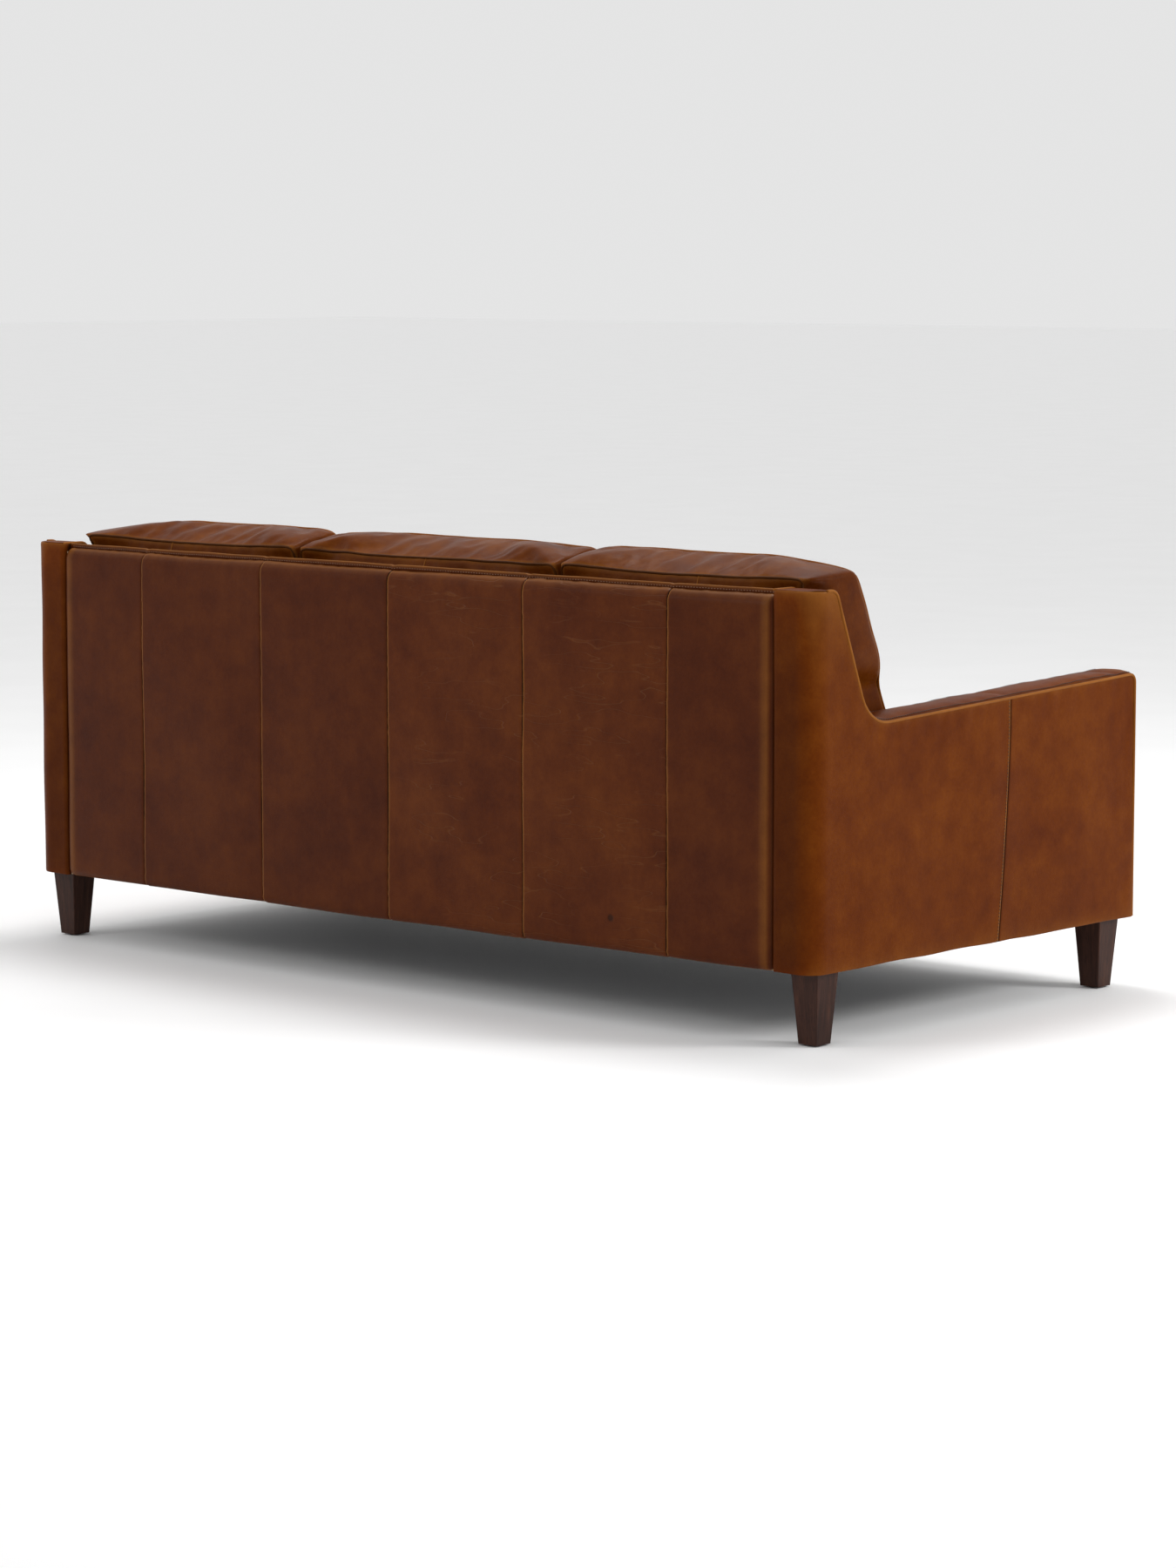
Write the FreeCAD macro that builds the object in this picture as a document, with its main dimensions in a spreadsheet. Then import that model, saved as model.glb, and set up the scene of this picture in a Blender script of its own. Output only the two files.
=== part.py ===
import FreeCAD, Part
import math
import os
import Sketcher

# A three-seat leather sofa on four wooden legs, in millimetres.
# +Z is up, the seat faces -Y, and the origin is on the floor under the middle of the sofa.
# "Left" and "right" are as seen by someone who stands in front and faces the sofa.
# A "depth" is measured forward from the rear plane, where the two arms end at the back.

doc = FreeCAD.newDocument("Sofa")

# ---------------------------------------------------------------- driving sizes

SIZES = {
    # overall sizes
    "overall_width": 2100,
    "overall_depth": 1016,
    "back_height": 834,
    "cushion_height": 885,
    "leg_height": 138,
    # arms and the wings that they rise into at the back
    "arm_width": 92,
    "arm_front_height": 618,
    "arm_slope": 2.5,
    "back_lean": 21,
    "wing_top_depth": 64,
    "wing_nose_radius": 22,
    "wing_sweep_radius": 80,
    "arm_nose_radius": 16,
    "rear_corner_radius": 40,
    "side_seam_depth": 580,
    "slot_gap": 3,
    # layers
    "leather": 2,
    "arm_pad": 4,
    "arm_foam": 12,
    "plywood": 12,
    "back_foam": 15,
    "back_crown": 16,
    "back_liner": 6,
    "dust_cloth": 1,
    "cloth_inset": 12,
    # seat frame
    "rail_thick": 25,
    "rail_height": 110,
    "stretcher_place": 320,
    "corner_block": 90,
    "corner_block_thick": 25,
    "spring_rail_depth": 252,
    "spring_rail_height": 60,
    "front_setback": 12,
    "upright_thick": 18,
    "top_rail_height": 25,
    "top_rail_width": 50,
    # springs, webbing and deck
    "seat_slope": 2,
    "wire": 4,
    "spring_bend": 18,
    "spring_bar": 14,
    "spring_pitch": 150,
    "clip_wall": 1,
    "deck_foam": 12,
    "deck_cloth": 1.5,
    "web_thick": 2,
    "web_width": 60,
    "web_spacing": 120,
    "web_first": 350,
    # outside back
    "back_panel": 355,
    "inside_top_depth": 72,
    "tuck": 12,
    # legs
    "leg_top": 63,
    "leg_foot": 43,
    "leg_inset": 22,
    "rear_leg_depth": 62,
    "front_leg_inset": 59,
    "leg_edge": 1.5,
    "glide_high": 3,
    "glide_radius": 12.5,
    "leg_bolt_radius": 4,
    "leg_bolt_in_leg": 40,
    "leg_bolt_in_rail": 30,
    # arm bolts
    "bolt_radius": 4,
    "bolt_head_radius": 9,
    "bolt_head": 3,
    "bolt_height": 195,
    "bolt_rear_depth": 200,
    "bolt_front_inset": 150,
    "bolt_top_depth": 60,
    "bolt_top_height": 700,
    "bolt_play": 0.1,
    # cushions
    "middle_width": 706,
    "cushion_gap": 3,
    "arm_play": 2,
    "seat_thick": 165,
    "seat_lift": 1,
    "seat_setback": 8,
    "seat_round": 18,
    "back_thick": 159,
    "back_lift": 2,
    "back_play": 1.5,
    "back_top_round": 45,
    "back_round": 15,
    "shoulder": 28,
    "shoulder_play": 6,
    "core_play": 0.5,
}

sheet = doc.addObject("Spreadsheet::Sheet", "Sizes")
for row, (alias, number) in enumerate(SIZES.items(), start=1):
    sheet.set(f"A{row}", alias)
    sheet.set(f"B{row}", str(number))
    sheet.setAlias(f"B{row}", alias)
doc.recompute()

MODEL = []          # every sub-part, in the order in which it is made


def number(expression):
    """What an expression comes to, as a plain number."""
    return float(sheet.evalExpression(expression))


# ---------------------------------------------------------------- planes and lines that pieces share

HALF = "(Sizes.overall_width / 2)"
REAR = "(Sizes.overall_depth / 2 - Sizes.back_crown)"
BODY_DEPTH = "(Sizes.overall_depth - Sizes.back_crown)"
BASE = "(Sizes.leg_height + Sizes.dust_cloth)"
RAIL_TOP = f"({BASE} + Sizes.rail_height)"
MODULE = f"({HALF} - Sizes.arm_width - Sizes.slot_gap)"
INNER = f"({HALF} - Sizes.arm_width)"
LEAN = "tan(Sizes.back_lean)"
CLIP_HEIGHT = "(2 * Sizes.clip_wall + Sizes.wire)"
SPRING_CLEAR = 0.5
BORDER_DEPTH = f"({BODY_DEPTH} - Sizes.front_setback)"
FRONT_RAIL_DEPTH = f"({BORDER_DEPTH} - Sizes.leather - Sizes.back_foam)"
FRONT_BAR_DEPTH = f"({FRONT_RAIL_DEPTH} - Sizes.rail_thick / 2)"
BACK_FACE = "(Sizes.leather + Sizes.back_liner)"
TOP_RAIL_TOP = "(Sizes.back_height - Sizes.leather - Sizes.back_foam)"


def y_at(depth):
    """The Y of a depth."""
    return f"({REAR} - ({depth}))"


def inside_back(height, behind="0"):
    """Depth of the inside back's face at a height, or of a layer so far behind that face."""
    face = f"Sizes.inside_top_depth + (Sizes.back_height - ({height})) * {LEAN}"
    return f"({face} - ({behind}) / cos(Sizes.back_lean))"


def deck_plane(depth, above="0"):
    """Height of the sloped plane on which the deck pad lies, or of a layer above it."""
    rise = f"(({depth}) - Sizes.spring_rail_depth) * tan(Sizes.seat_slope)"
    lift = f"({above}) / cos(Sizes.seat_slope)"
    return f"({RAIL_TOP} + {CLIP_HEIGHT} + {SPRING_CLEAR} + {rise} + {lift})"


DECK_TOP = "Sizes.deck_foam + Sizes.deck_cloth"
SEAT_TOP = f"({DECK_TOP} + Sizes.seat_lift + Sizes.seat_thick)"


# ---------------------------------------------------------------- ways of making a piece

def keep(piece, label):
    """Gives a finished piece its label and puts it on the list of sub-parts."""
    piece.Label = label
    MODEL.append(piece)
    return piece


def block(name, across, depths, heights):
    """A Part::Box from pairs of expressions: low and high X, depth and Z."""
    box = doc.addObject("Part::Box", name)
    box.setExpression("Length", f"({across[1]}) - ({across[0]})")
    box.setExpression("Width", f"({depths[1]}) - ({depths[0]})")
    box.setExpression("Height", f"({heights[1]}) - ({heights[0]})")
    box.setExpression("Placement.Base.x", across[0])
    box.setExpression("Placement.Base.y", y_at(depths[1]))
    box.setExpression("Placement.Base.z", heights[0])
    return box


def origin_plane(body, role):
    """One of a body's own origin planes."""
    return next(part for part in body.Origin.OriginFeatures if part.Role == role)


def draw_outline(sketch, places):
    """A closed outline of straight lines whose corners are bound to pairs of expressions."""
    spots = [FreeCAD.Vector(number(across), number(up), 0) for across, up in places]
    count = len(spots)
    for index, spot in enumerate(spots):
        sketch.addGeometry(Part.LineSegment(spot, spots[(index + 1) % count]))
    for index in range(count):
        sketch.addConstraint(Sketcher.Constraint("Coincident", index, 2, (index + 1) % count, 1))
    for index, (across, up) in enumerate(places):
        level = Sketcher.Constraint("DistanceX", -1, 1, index, 1, spots[index].x)
        plumb = Sketcher.Constraint("DistanceY", -1, 1, index, 1, spots[index].y)
        sketch.setExpression(f"Constraints[{sketch.addConstraint(level)}]", across)
        sketch.setExpression(f"Constraints[{sketch.addConstraint(plumb)}]", up)


def prism(name, corners, low, high):
    """A PartDesign body: an outline of (depth, height) corners, padded along X from low to high."""
    body = doc.addObject("PartDesign::Body", name)
    outline = body.newObject("Sketcher::SketchObject", f"{name}_outline")
    outline.AttachmentSupport = (origin_plane(body, "YZ_Plane"), [""])
    outline.MapMode = "FlatFace"
    outline.setExpression("AttachmentOffset.Base.z", low)
    draw_outline(outline, [(y_at(depth), height) for depth, height in corners])
    pad = body.newObject("PartDesign::Pad", f"{name}_pad")
    pad.Profile = outline
    pad.setExpression("Length", f"({high}) - ({low})")
    doc.recompute()
    return body


def round_edges(body, name, chosen, radius):
    """A PartDesign fillet on the edges of the body's tip that a test picks."""
    tip = body.Tip
    names = [f"Edge{place}" for place, edge in enumerate(tip.Shape.Edges, start=1) if chosen(edge)]
    fillet = body.newObject("PartDesign::Fillet", name)
    fillet.Base = (tip, names)
    fillet.setExpression("Radius", radius)
    doc.recompute()
    return body


def runs_along(edge, axis):
    """True for a straight edge that lies along one of the row's axes."""
    if edge.Curve.TypeId != "Part::GeomLine":
        return False
    return abs(edge.tangentAt(edge.FirstParameter)[axis]) > 0.999


def edge_at(depth, height):
    """A test for the edge along X at one corner of an outline."""
    spot = (number(y_at(depth)), number(height))

    def test(edge):
        middle = edge.CenterOfMass
        return runs_along(edge, 0) and math.hypot(middle.y - spot[0], middle.z - spot[1]) < 0.01
    return test


def upright_edge_at(across, depth):
    """A test for the vertical edge at one place in plan."""
    spot = (number(across), number(y_at(depth)))

    def test(edge):
        middle = edge.CenterOfMass
        return runs_along(edge, 2) and math.hypot(middle.x - spot[0], middle.y - spot[1]) < 0.01
    return test


def cut(name, base, tool):
    """A Part::Cut."""
    result = doc.addObject("Part::Cut", name)
    result.Base = base
    result.Tool = tool
    return result


def common(name, base, tool):
    """A Part::Common."""
    result = doc.addObject("Part::Common", name)
    result.Base = base
    result.Tool = tool
    return result


def fuse(name, pieces):
    """A Part::MultiFuse."""
    result = doc.addObject("Part::MultiFuse", name)
    result.Shapes = pieces
    return result


def group(name, pieces):
    """Separate solids that share one sub-part."""
    result = doc.addObject("Part::Compound", name)
    result.Links = pieces
    return result


def rod(name, radius, length, base, axis, angle):
    """A Part::Cylinder whose end stands at (x, depth, z), turned about an axis."""
    cylinder = doc.addObject("Part::Cylinder", name)
    cylinder.Placement = FreeCAD.Placement(FreeCAD.Vector(), FreeCAD.Rotation(axis, angle))
    cylinder.setExpression("Radius", radius)
    cylinder.setExpression("Height", length)
    cylinder.setExpression("Placement.Base.x", base[0])
    cylinder.setExpression("Placement.Base.y", y_at(base[1]))
    cylinder.setExpression("Placement.Base.z", base[2])
    return cylinder


UP = (FreeCAD.Vector(0, 0, 1), 0)
SIDES = {"left": -1, "right": 1}


def span(side, start, thick):
    """Low and high X of a layer that starts so far in from an arm's outer face."""
    outer = f"({HALF} - ({start}))"
    inner = f"({HALF} - ({start}) - ({thick}))"
    if side > 0:
        return inner, outer
    return f"-{outer}", f"-{inner}"


# ---------------------------------------------------------------- bolts that hold the arms to the seat and back

BOLT_LENGTH = f"(Sizes.rail_thick + Sizes.slot_gap + Sizes.leather + Sizes.arm_pad + 2 * Sizes.plywood)"
BOLT_START = f"({MODULE} - Sizes.rail_thick)"
BOLT_PLACES = [
    ("Sizes.bolt_rear_depth", "Sizes.bolt_height"),
    (f"{BODY_DEPTH} - Sizes.bolt_front_inset", "Sizes.bolt_height"),
    ("Sizes.bolt_top_depth", "Sizes.bolt_top_height"),
]


def arm_bolt_rods(name, side, start, radius, length):
    """One rod at each bolt place, pointing outwards through the side of the seat into an arm."""
    rods = []
    for place, (depth, height) in enumerate(BOLT_PLACES, start=1):
        base = (f"{side} * ({start})", depth, height)
        rods.append(rod(f"{name}_{place}", radius, length, base, FreeCAD.Vector(0, 1, 0), 90 * side))
    return rods


bolts = []
bolt_holes = {}
for side_name, side in SIDES.items():
    shanks = arm_bolt_rods(f"shank_{side_name}", side, BOLT_START, "Sizes.bolt_radius", BOLT_LENGTH)
    head_start = f"{BOLT_START} - Sizes.bolt_head"
    heads = arm_bolt_rods(f"head_{side_name}", side, head_start, "Sizes.bolt_head_radius", "Sizes.bolt_head")
    for place, (shank, head) in enumerate(zip(shanks, heads), start=1):
        bolts.append(fuse(f"bolt_{side_name}_{place}", [shank, head]))
    hole_radius = "Sizes.bolt_radius + Sizes.bolt_play"
    tools = arm_bolt_rods(f"hole_{side_name}", side, BOLT_START, hole_radius, BOLT_LENGTH)
    bolt_holes[side_name] = group(f"holes_{side_name}", tools)
keep(group("arm_bolts", bolts), "arm_bolts")

# ---------------------------------------------------------------- seat frame

RAILS = (BASE, RAIL_TOP)
REAR_RAIL = (BACK_FACE, f"{BACK_FACE} + Sizes.rail_thick")
SPRING_RAIL = (
    "Sizes.spring_rail_depth - Sizes.rail_thick / 2",
    "Sizes.spring_rail_depth + Sizes.rail_thick / 2",
)
FRONT_RAIL = (f"{FRONT_RAIL_DEPTH} - Sizes.rail_thick", FRONT_RAIL_DEPTH)
INNER_SIDE = f"({MODULE} - Sizes.rail_thick)"
front_rail_rise = f"({FRONT_BAR_DEPTH} - Sizes.spring_rail_depth) * tan(Sizes.seat_slope)"
front_rail_top = f"({RAIL_TOP} + {front_rail_rise})"

keep(block("seat_front_rail", (f"-{INNER_SIDE}", INNER_SIDE), FRONT_RAIL, (BASE, front_rail_top)),
     "seat_front_rail")
keep(block("seat_rear_rail", (f"-{INNER_SIDE}", INNER_SIDE), REAR_RAIL, RAILS), "seat_rear_rail")
spring_rail_heights = (f"{RAIL_TOP} - Sizes.spring_rail_height", RAIL_TOP)
keep(block("seat_spring_rail", (f"-{INNER_SIDE}", INNER_SIDE), SPRING_RAIL, spring_rail_heights),
     "seat_spring_rail")

# Rails that run from back to front: one at each side, and two pairs of stretchers between them.
long_rails = []
for side_name, side in SIDES.items():
    across = (INNER_SIDE, MODULE) if side > 0 else (f"-{MODULE}", f"-{INNER_SIDE}")
    rail = block(f"side_rail_{side_name}", across, (REAR_RAIL[0], FRONT_RAIL[1]), RAILS)
    long_rails.append(cut(f"side_rail_drilled_{side_name}", rail, bolt_holes[side_name]))
    middle = f"({side} * Sizes.stretcher_place)"
    across = (f"{middle} - Sizes.rail_thick / 2", f"{middle} + Sizes.rail_thick / 2")
    rear_run = (REAR_RAIL[1], SPRING_RAIL[0])
    front_run = (SPRING_RAIL[1], FRONT_RAIL[0])
    long_rails.append(block(f"stretcher_rear_{side_name}", across, rear_run, RAILS))
    long_rails.append(block(f"stretcher_front_{side_name}", across, front_run, RAILS))
keep(group("seat_long_rails", long_rails), "seat_long_rails")


def corner_block(name, side, rear):
    """A three-cornered glue block in an inner corner of the seat frame."""
    body = doc.addObject("PartDesign::Body", name)
    outline = body.newObject("Sketcher::SketchObject", f"{name}_outline")
    outline.AttachmentSupport = (origin_plane(body, "XY_Plane"), [""])
    outline.MapMode = "FlatFace"
    outline.setExpression("AttachmentOffset.Base.z", BASE)
    corner_x = f"({side} * {INNER_SIDE})"
    corner_y = y_at(REAR_RAIL[1]) if rear else y_at(FRONT_RAIL[0])
    inward = "-" if rear else "+"
    places = [
        (corner_x, corner_y),
        (f"{corner_x} - {side} * Sizes.corner_block", corner_y),
        (corner_x, f"{corner_y} {inward} Sizes.corner_block"),
    ]
    draw_outline(outline, places)
    pad = body.newObject("PartDesign::Pad", f"{name}_pad")
    pad.Profile = outline
    pad.setExpression("Length", "Sizes.corner_block_thick")
    return body


corner_blocks = []
for side_name, side in SIDES.items():
    corner_blocks.append(corner_block(f"corner_block_rear_{side_name}", side, True))
    corner_blocks.append(corner_block(f"corner_block_front_{side_name}", side, False))
keep(group("corner_blocks", corner_blocks), "corner_blocks")

# ---------------------------------------------------------------- back frame

UPRIGHT_BEHIND = "(Sizes.leather + Sizes.back_foam + Sizes.web_thick)"
top_rail_bottom = f"({TOP_RAIL_TOP} - Sizes.top_rail_height)"
upright_corners = [
    (BACK_FACE, RAIL_TOP),
    (BACK_FACE, top_rail_bottom),
    (inside_back(top_rail_bottom, UPRIGHT_BEHIND), top_rail_bottom),
    (inside_back(RAIL_TOP, UPRIGHT_BEHIND), RAIL_TOP),
]
outer_middle = f"({MODULE} - Sizes.rail_thick / 2)"
upright_places = {
    "outer_left": f"-{outer_middle}",
    "inner_left": "(-Sizes.stretcher_place)",
    "inner_right": "Sizes.stretcher_place",
    "outer_right": outer_middle,
}
uprights = []
for place_name, middle in upright_places.items():
    low = f"{middle} - Sizes.upright_thick / 2"
    high = f"{middle} + Sizes.upright_thick / 2"
    upright = prism(f"upright_{place_name}", upright_corners, low, high)
    side_name = place_name.split("_")[1]
    if place_name.startswith("outer"):
        upright = cut(f"upright_{place_name}_drilled", upright, bolt_holes[side_name])
    uprights.append(upright)
keep(group("back_uprights", uprights), "back_uprights")

top_rail_depths = (BACK_FACE, f"{BACK_FACE} + Sizes.top_rail_width")
keep(block("back_top_rail", (f"-{MODULE}", MODULE), top_rail_depths, (top_rail_bottom, TOP_RAIL_TOP)),
     "back_top_rail")

# Elastic webbing, stretched across the sloped fronts of the uprights.
STRAP_COUNT = 4
straps = []
for place in range(STRAP_COUNT):
    foot = f"(Sizes.web_first + {place} * Sizes.web_spacing)"
    strap = doc.addObject("Part::Box", f"strap_{place + 1}")
    strap.Placement = FreeCAD.Placement(FreeCAD.Vector(), FreeCAD.Rotation(FreeCAD.Vector(-1, 0, 0), 1))
    strap.setExpression("Length", f"2 * {MODULE}")
    strap.setExpression("Width", "Sizes.web_thick")
    strap.setExpression("Height", "Sizes.web_width")
    strap.setExpression("Placement.Rotation.Angle", "Sizes.back_lean")
    strap.setExpression("Placement.Base.x", f"-{MODULE}")
    strap.setExpression("Placement.Base.y", y_at(inside_back(foot, "Sizes.leather + Sizes.back_foam")))
    strap.setExpression("Placement.Base.z", foot)
    straps.append(strap)
keep(group("back_webbing", straps), "back_webbing")

# ---------------------------------------------------------------- seat springs and their clips

BAR_HEIGHT = f"({RAIL_TOP} + {CLIP_HEIGHT} / 2)"
SPRING_COUNT = 12


def spring_places():
    """X of every spring, evenly spaced about the middle."""
    pitch = number("Sizes.spring_pitch")
    return [(place - (SPRING_COUNT - 1) / 2) * pitch for place in range(SPRING_COUNT)]


def serpentine():
    """A zigzag wire from the spring rail to the front rail: short bars joined by half-circle bends."""
    wire = number("Sizes.wire")
    half_bar = number("Sizes.spring_bar") / 2
    reach = number(f"({FRONT_BAR_DEPTH} - Sizes.spring_rail_depth) / cos(Sizes.seat_slope)")
    bars = 2 * round(reach / number("Sizes.spring_bend") / 4) + 1
    pitch = reach / (bars - 1)
    bend = pitch / 2
    edges = []
    for bar in range(bars):
        along = bar * pitch
        way = 1 if bar % 2 == 0 else -1
        first = FreeCAD.Vector(-way * half_bar, along, 0)
        last = FreeCAD.Vector(way * half_bar, along, 0)
        edges.append(Part.LineSegment(first, last).toShape())
        if bar < bars - 1:
            crown = FreeCAD.Vector(way * (half_bar + bend), along + bend, 0)
            far = FreeCAD.Vector(way * half_bar, along + pitch, 0)
            edges.append(Part.Arc(last, crown, far).toShape())
    path = Part.Wire(edges)
    profile = Part.Wire(Part.makeCircle(wire / 2, edges[0].Vertexes[0].Point, FreeCAD.Vector(1, 0, 0)))
    return path.makePipeShell([profile], True, True)


springs = doc.addObject("Part::Feature", "seat_springs")
slope = number("Sizes.seat_slope")
one_spring = serpentine()
copies = []
for x in spring_places():
    copy = one_spring.copy()
    turn = FreeCAD.Rotation(FreeCAD.Vector(0, 0, 1), 180)
    tilt = FreeCAD.Rotation(FreeCAD.Vector(1, 0, 0), -slope)
    place = FreeCAD.Vector(x, number(y_at("Sizes.spring_rail_depth")), number(BAR_HEIGHT))
    copy.Placement = FreeCAD.Placement(place, tilt.multiply(turn))
    copies.append(copy)
springs.Shape = Part.makeCompound(copies)
keep(springs, "seat_springs")

clips = []
for place in range(SPRING_COUNT):
    middle = f"({place} - {SPRING_COUNT - 1} / 2) * Sizes.spring_pitch"
    for end_name, bar_depth, floor in (
        ("rear", "Sizes.spring_rail_depth", RAIL_TOP),
        ("front", FRONT_BAR_DEPTH, front_rail_top),
    ):
        name = f"clip_{end_name}_{place + 1}"
        half_long = "Sizes.spring_bar / 2"
        across = (f"{middle} - {half_long}", f"{middle} + {half_long}")
        depths = (f"{bar_depth} - {CLIP_HEIGHT} / 2", f"{bar_depth} + {CLIP_HEIGHT} / 2")
        body = block(f"{name}_body", across, depths, (floor, f"{floor} + {CLIP_HEIGHT}"))
        end = (f"{middle} - Sizes.spring_bar", bar_depth, f"{floor} + {CLIP_HEIGHT} / 2")
        bore = rod(f"{name}_bore", "Sizes.wire / 2", "2 * Sizes.spring_bar", end, FreeCAD.Vector(0, 1, 0), 90)
        clips.append(cut(name, body, bore))
keep(group("spring_clips", clips), "spring_clips")

# ---------------------------------------------------------------- deck and front border

DECK_REAR = f"({inside_back(f'{RAIL_TOP} + Sizes.tuck')} + Sizes.leather)"
PAD_FRONT = f"({BORDER_DEPTH} - Sizes.leather)"


def deck_layer(name, low, high):
    """A sloped sheet over the springs, between two heights above the deck plane."""
    corners = [
        (DECK_REAR, deck_plane(DECK_REAR, low)),
        (DECK_REAR, deck_plane(DECK_REAR, high)),
        (PAD_FRONT, deck_plane(PAD_FRONT, high)),
        (PAD_FRONT, deck_plane(PAD_FRONT, low)),
    ]
    return keep(prism(name, corners, f"-{MODULE}", MODULE), name)


deck_layer("deck_pad", "0", "Sizes.deck_foam")
deck_layer("deck_cover", "Sizes.deck_foam", DECK_TOP)

border_pad_top = deck_plane(FRONT_RAIL_DEPTH)
keep(block("front_border_pad", (f"-{MODULE}", MODULE), (FRONT_RAIL_DEPTH, PAD_FRONT), (BASE, border_pad_top)),
     "front_border_pad")
border_top = deck_plane(PAD_FRONT, DECK_TOP)
keep(block("front_border_cover", (f"-{MODULE}", MODULE), (PAD_FRONT, BORDER_DEPTH), (BASE, border_top)),
     "front_border_cover")

# ---------------------------------------------------------------- inside back

PAD_BEHIND = "(Sizes.leather + Sizes.back_foam)"
INSIDE_FOOT = f"({RAIL_TOP} + Sizes.tuck)"
UNDER_BAND = "(Sizes.back_height - Sizes.leather)"
inside_pad_corners = [
    (BACK_FACE, TOP_RAIL_TOP),
    (BACK_FACE, UNDER_BAND),
    (inside_back(UNDER_BAND, "Sizes.leather"), UNDER_BAND),
    (inside_back(INSIDE_FOOT, "Sizes.leather"), INSIDE_FOOT),
    (inside_back(INSIDE_FOOT, PAD_BEHIND), INSIDE_FOOT),
    (inside_back(TOP_RAIL_TOP, PAD_BEHIND), TOP_RAIL_TOP),
]
keep(prism("inside_back_pad", inside_pad_corners, f"-{MODULE}", MODULE), "inside_back_pad")
inside_cover_corners = [
    (inside_back(UNDER_BAND, "Sizes.leather"), UNDER_BAND),
    (inside_back(UNDER_BAND), UNDER_BAND),
    (inside_back(INSIDE_FOOT), INSIDE_FOOT),
    (inside_back(INSIDE_FOOT, "Sizes.leather"), INSIDE_FOOT),
]
keep(prism("inside_back_cover", inside_cover_corners, f"-{MODULE}", MODULE), "inside_back_cover")

# ---------------------------------------------------------------- outside back
# Six leather panels and a top band, over a liner. All follow one wide arc that swells out by back_crown.

CROWN_RADIUS = f"(({MODULE} * {MODULE} + Sizes.back_crown * Sizes.back_crown) / (2 * Sizes.back_crown))"


def crown_drum(name, radius, heights):
    """An upright drum whose side is the swell of the outside back."""
    drum = doc.addObject("Part::Cylinder", name)
    drum.setExpression("Radius", radius)
    drum.setExpression("Height", f"({heights[1]}) - ({heights[0]})")
    drum.setExpression("Placement.Base.y", f"{REAR} + Sizes.back_crown - {CROWN_RADIUS}")
    drum.setExpression("Placement.Base.z", heights[0])
    return drum


BEHIND = "-2 * Sizes.back_crown"
skin_drum = crown_drum("skin_drum", CROWN_RADIUS, (BASE, UNDER_BAND))
liner_drum = crown_drum("liner_drum", f"{CROWN_RADIUS} - Sizes.leather", (BASE, UNDER_BAND))
seams = [f"-{MODULE}"] + [f"{place} * Sizes.back_panel" for place in (-2, -1, 0, 1, 2)] + [MODULE]
for place in range(6):
    strip_depths = (BEHIND, BACK_FACE)
    strip = block(f"strip_{place + 1}", (seams[place], seams[place + 1]), strip_depths, (BASE, UNDER_BAND))
    slab = common(f"slab_{place + 1}", strip, skin_drum)
    name = f"outside_back_panel_{place + 1}"
    keep(cut(name, slab, liner_drum), name)

liner_zone = block("liner_zone", (f"-{MODULE}", MODULE), (BEHIND, BACK_FACE), (BASE, UNDER_BAND))
keep(common("outside_back_liner", liner_zone, liner_drum), "outside_back_liner")

band_heights = (UNDER_BAND, "Sizes.back_height")
band_drum = crown_drum("band_drum", CROWN_RADIUS, band_heights)
band_depths = (BEHIND, inside_back(UNDER_BAND))
band_zone = block("band_zone", (f"-{MODULE}", MODULE), band_depths, band_heights)
keep(common("back_top_band", band_zone, band_drum), "back_top_band")

# ---------------------------------------------------------------- arms


def arm_corners(inset, rear, foot):
    """Side outline of an arm and its wing, set in from the finished outline.

    inset holds for the top, the wing and the front; rear is a depth and foot a height above the base.
    """
    wing_top = f"(Sizes.back_height - ({inset}))"
    wing_shift = f"(({inset}) / cos(Sizes.back_lean))"
    arm_shift = f"(({inset}) / cos(Sizes.arm_slope))"
    rise = "tan(Sizes.arm_slope)"
    front_top = f"(Sizes.arm_front_height - {arm_shift})"
    wing_drop = f"(Sizes.back_height - {front_top} + {BODY_DEPTH} * {rise}) * {LEAN}"
    throat = f"((Sizes.wing_top_depth - {wing_shift} + {wing_drop}) / (1 + {rise} * {LEAN}))"
    return {
        "rear_foot": (rear, f"{BASE} + ({foot})"),
        "rear_top": (rear, wing_top),
        "wing_nose": (f"Sizes.wing_top_depth - {wing_shift} + ({inset}) * {LEAN}", wing_top),
        "throat": (throat, f"{front_top} - ({BODY_DEPTH} - {throat}) * {rise}"),
        "arm_nose": (f"{BODY_DEPTH} - ({inset})", f"{front_top} - ({inset}) * {rise}"),
        "front_foot": (f"{BODY_DEPTH} - ({inset})", f"{BASE} + ({foot})"),
    }


def arm_slab(name, side, start, thick, inset, rear, foot):
    """A slab with the arm's outline, between two distances in from the arm's outer face."""
    corners = arm_corners(inset, rear, foot)
    low, high = span(side, start, thick)
    slab = prism(name, list(corners.values()), low, high)
    round_edges(slab, f"{name}_throat", edge_at(*corners["throat"]), f"Sizes.wing_sweep_radius + {inset}")
    nose = f"Sizes.wing_nose_radius - {inset}"
    round_edges(slab, f"{name}_wing_nose", edge_at(*corners["wing_nose"]), nose)
    nose = f"Sizes.arm_nose_radius - {inset}"
    round_edges(slab, f"{name}_arm_nose", edge_at(*corners["arm_nose"]), nose)
    return slab


WOOD_INSET = "(Sizes.leather + Sizes.arm_foam)"
SKIN_AND_PAD = "(Sizes.leather + Sizes.arm_pad)"
POST_FRONT = "(Sizes.rear_corner_radius + Sizes.leather)"
BELOW = "-3 * Sizes.leather"
WHOLE_HEIGHT = (f"{BASE} - 10 * Sizes.leather", "Sizes.back_height + 10 * Sizes.leather")
AHEAD = f"({BODY_DEPTH} + Sizes.rear_corner_radius)"


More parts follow.
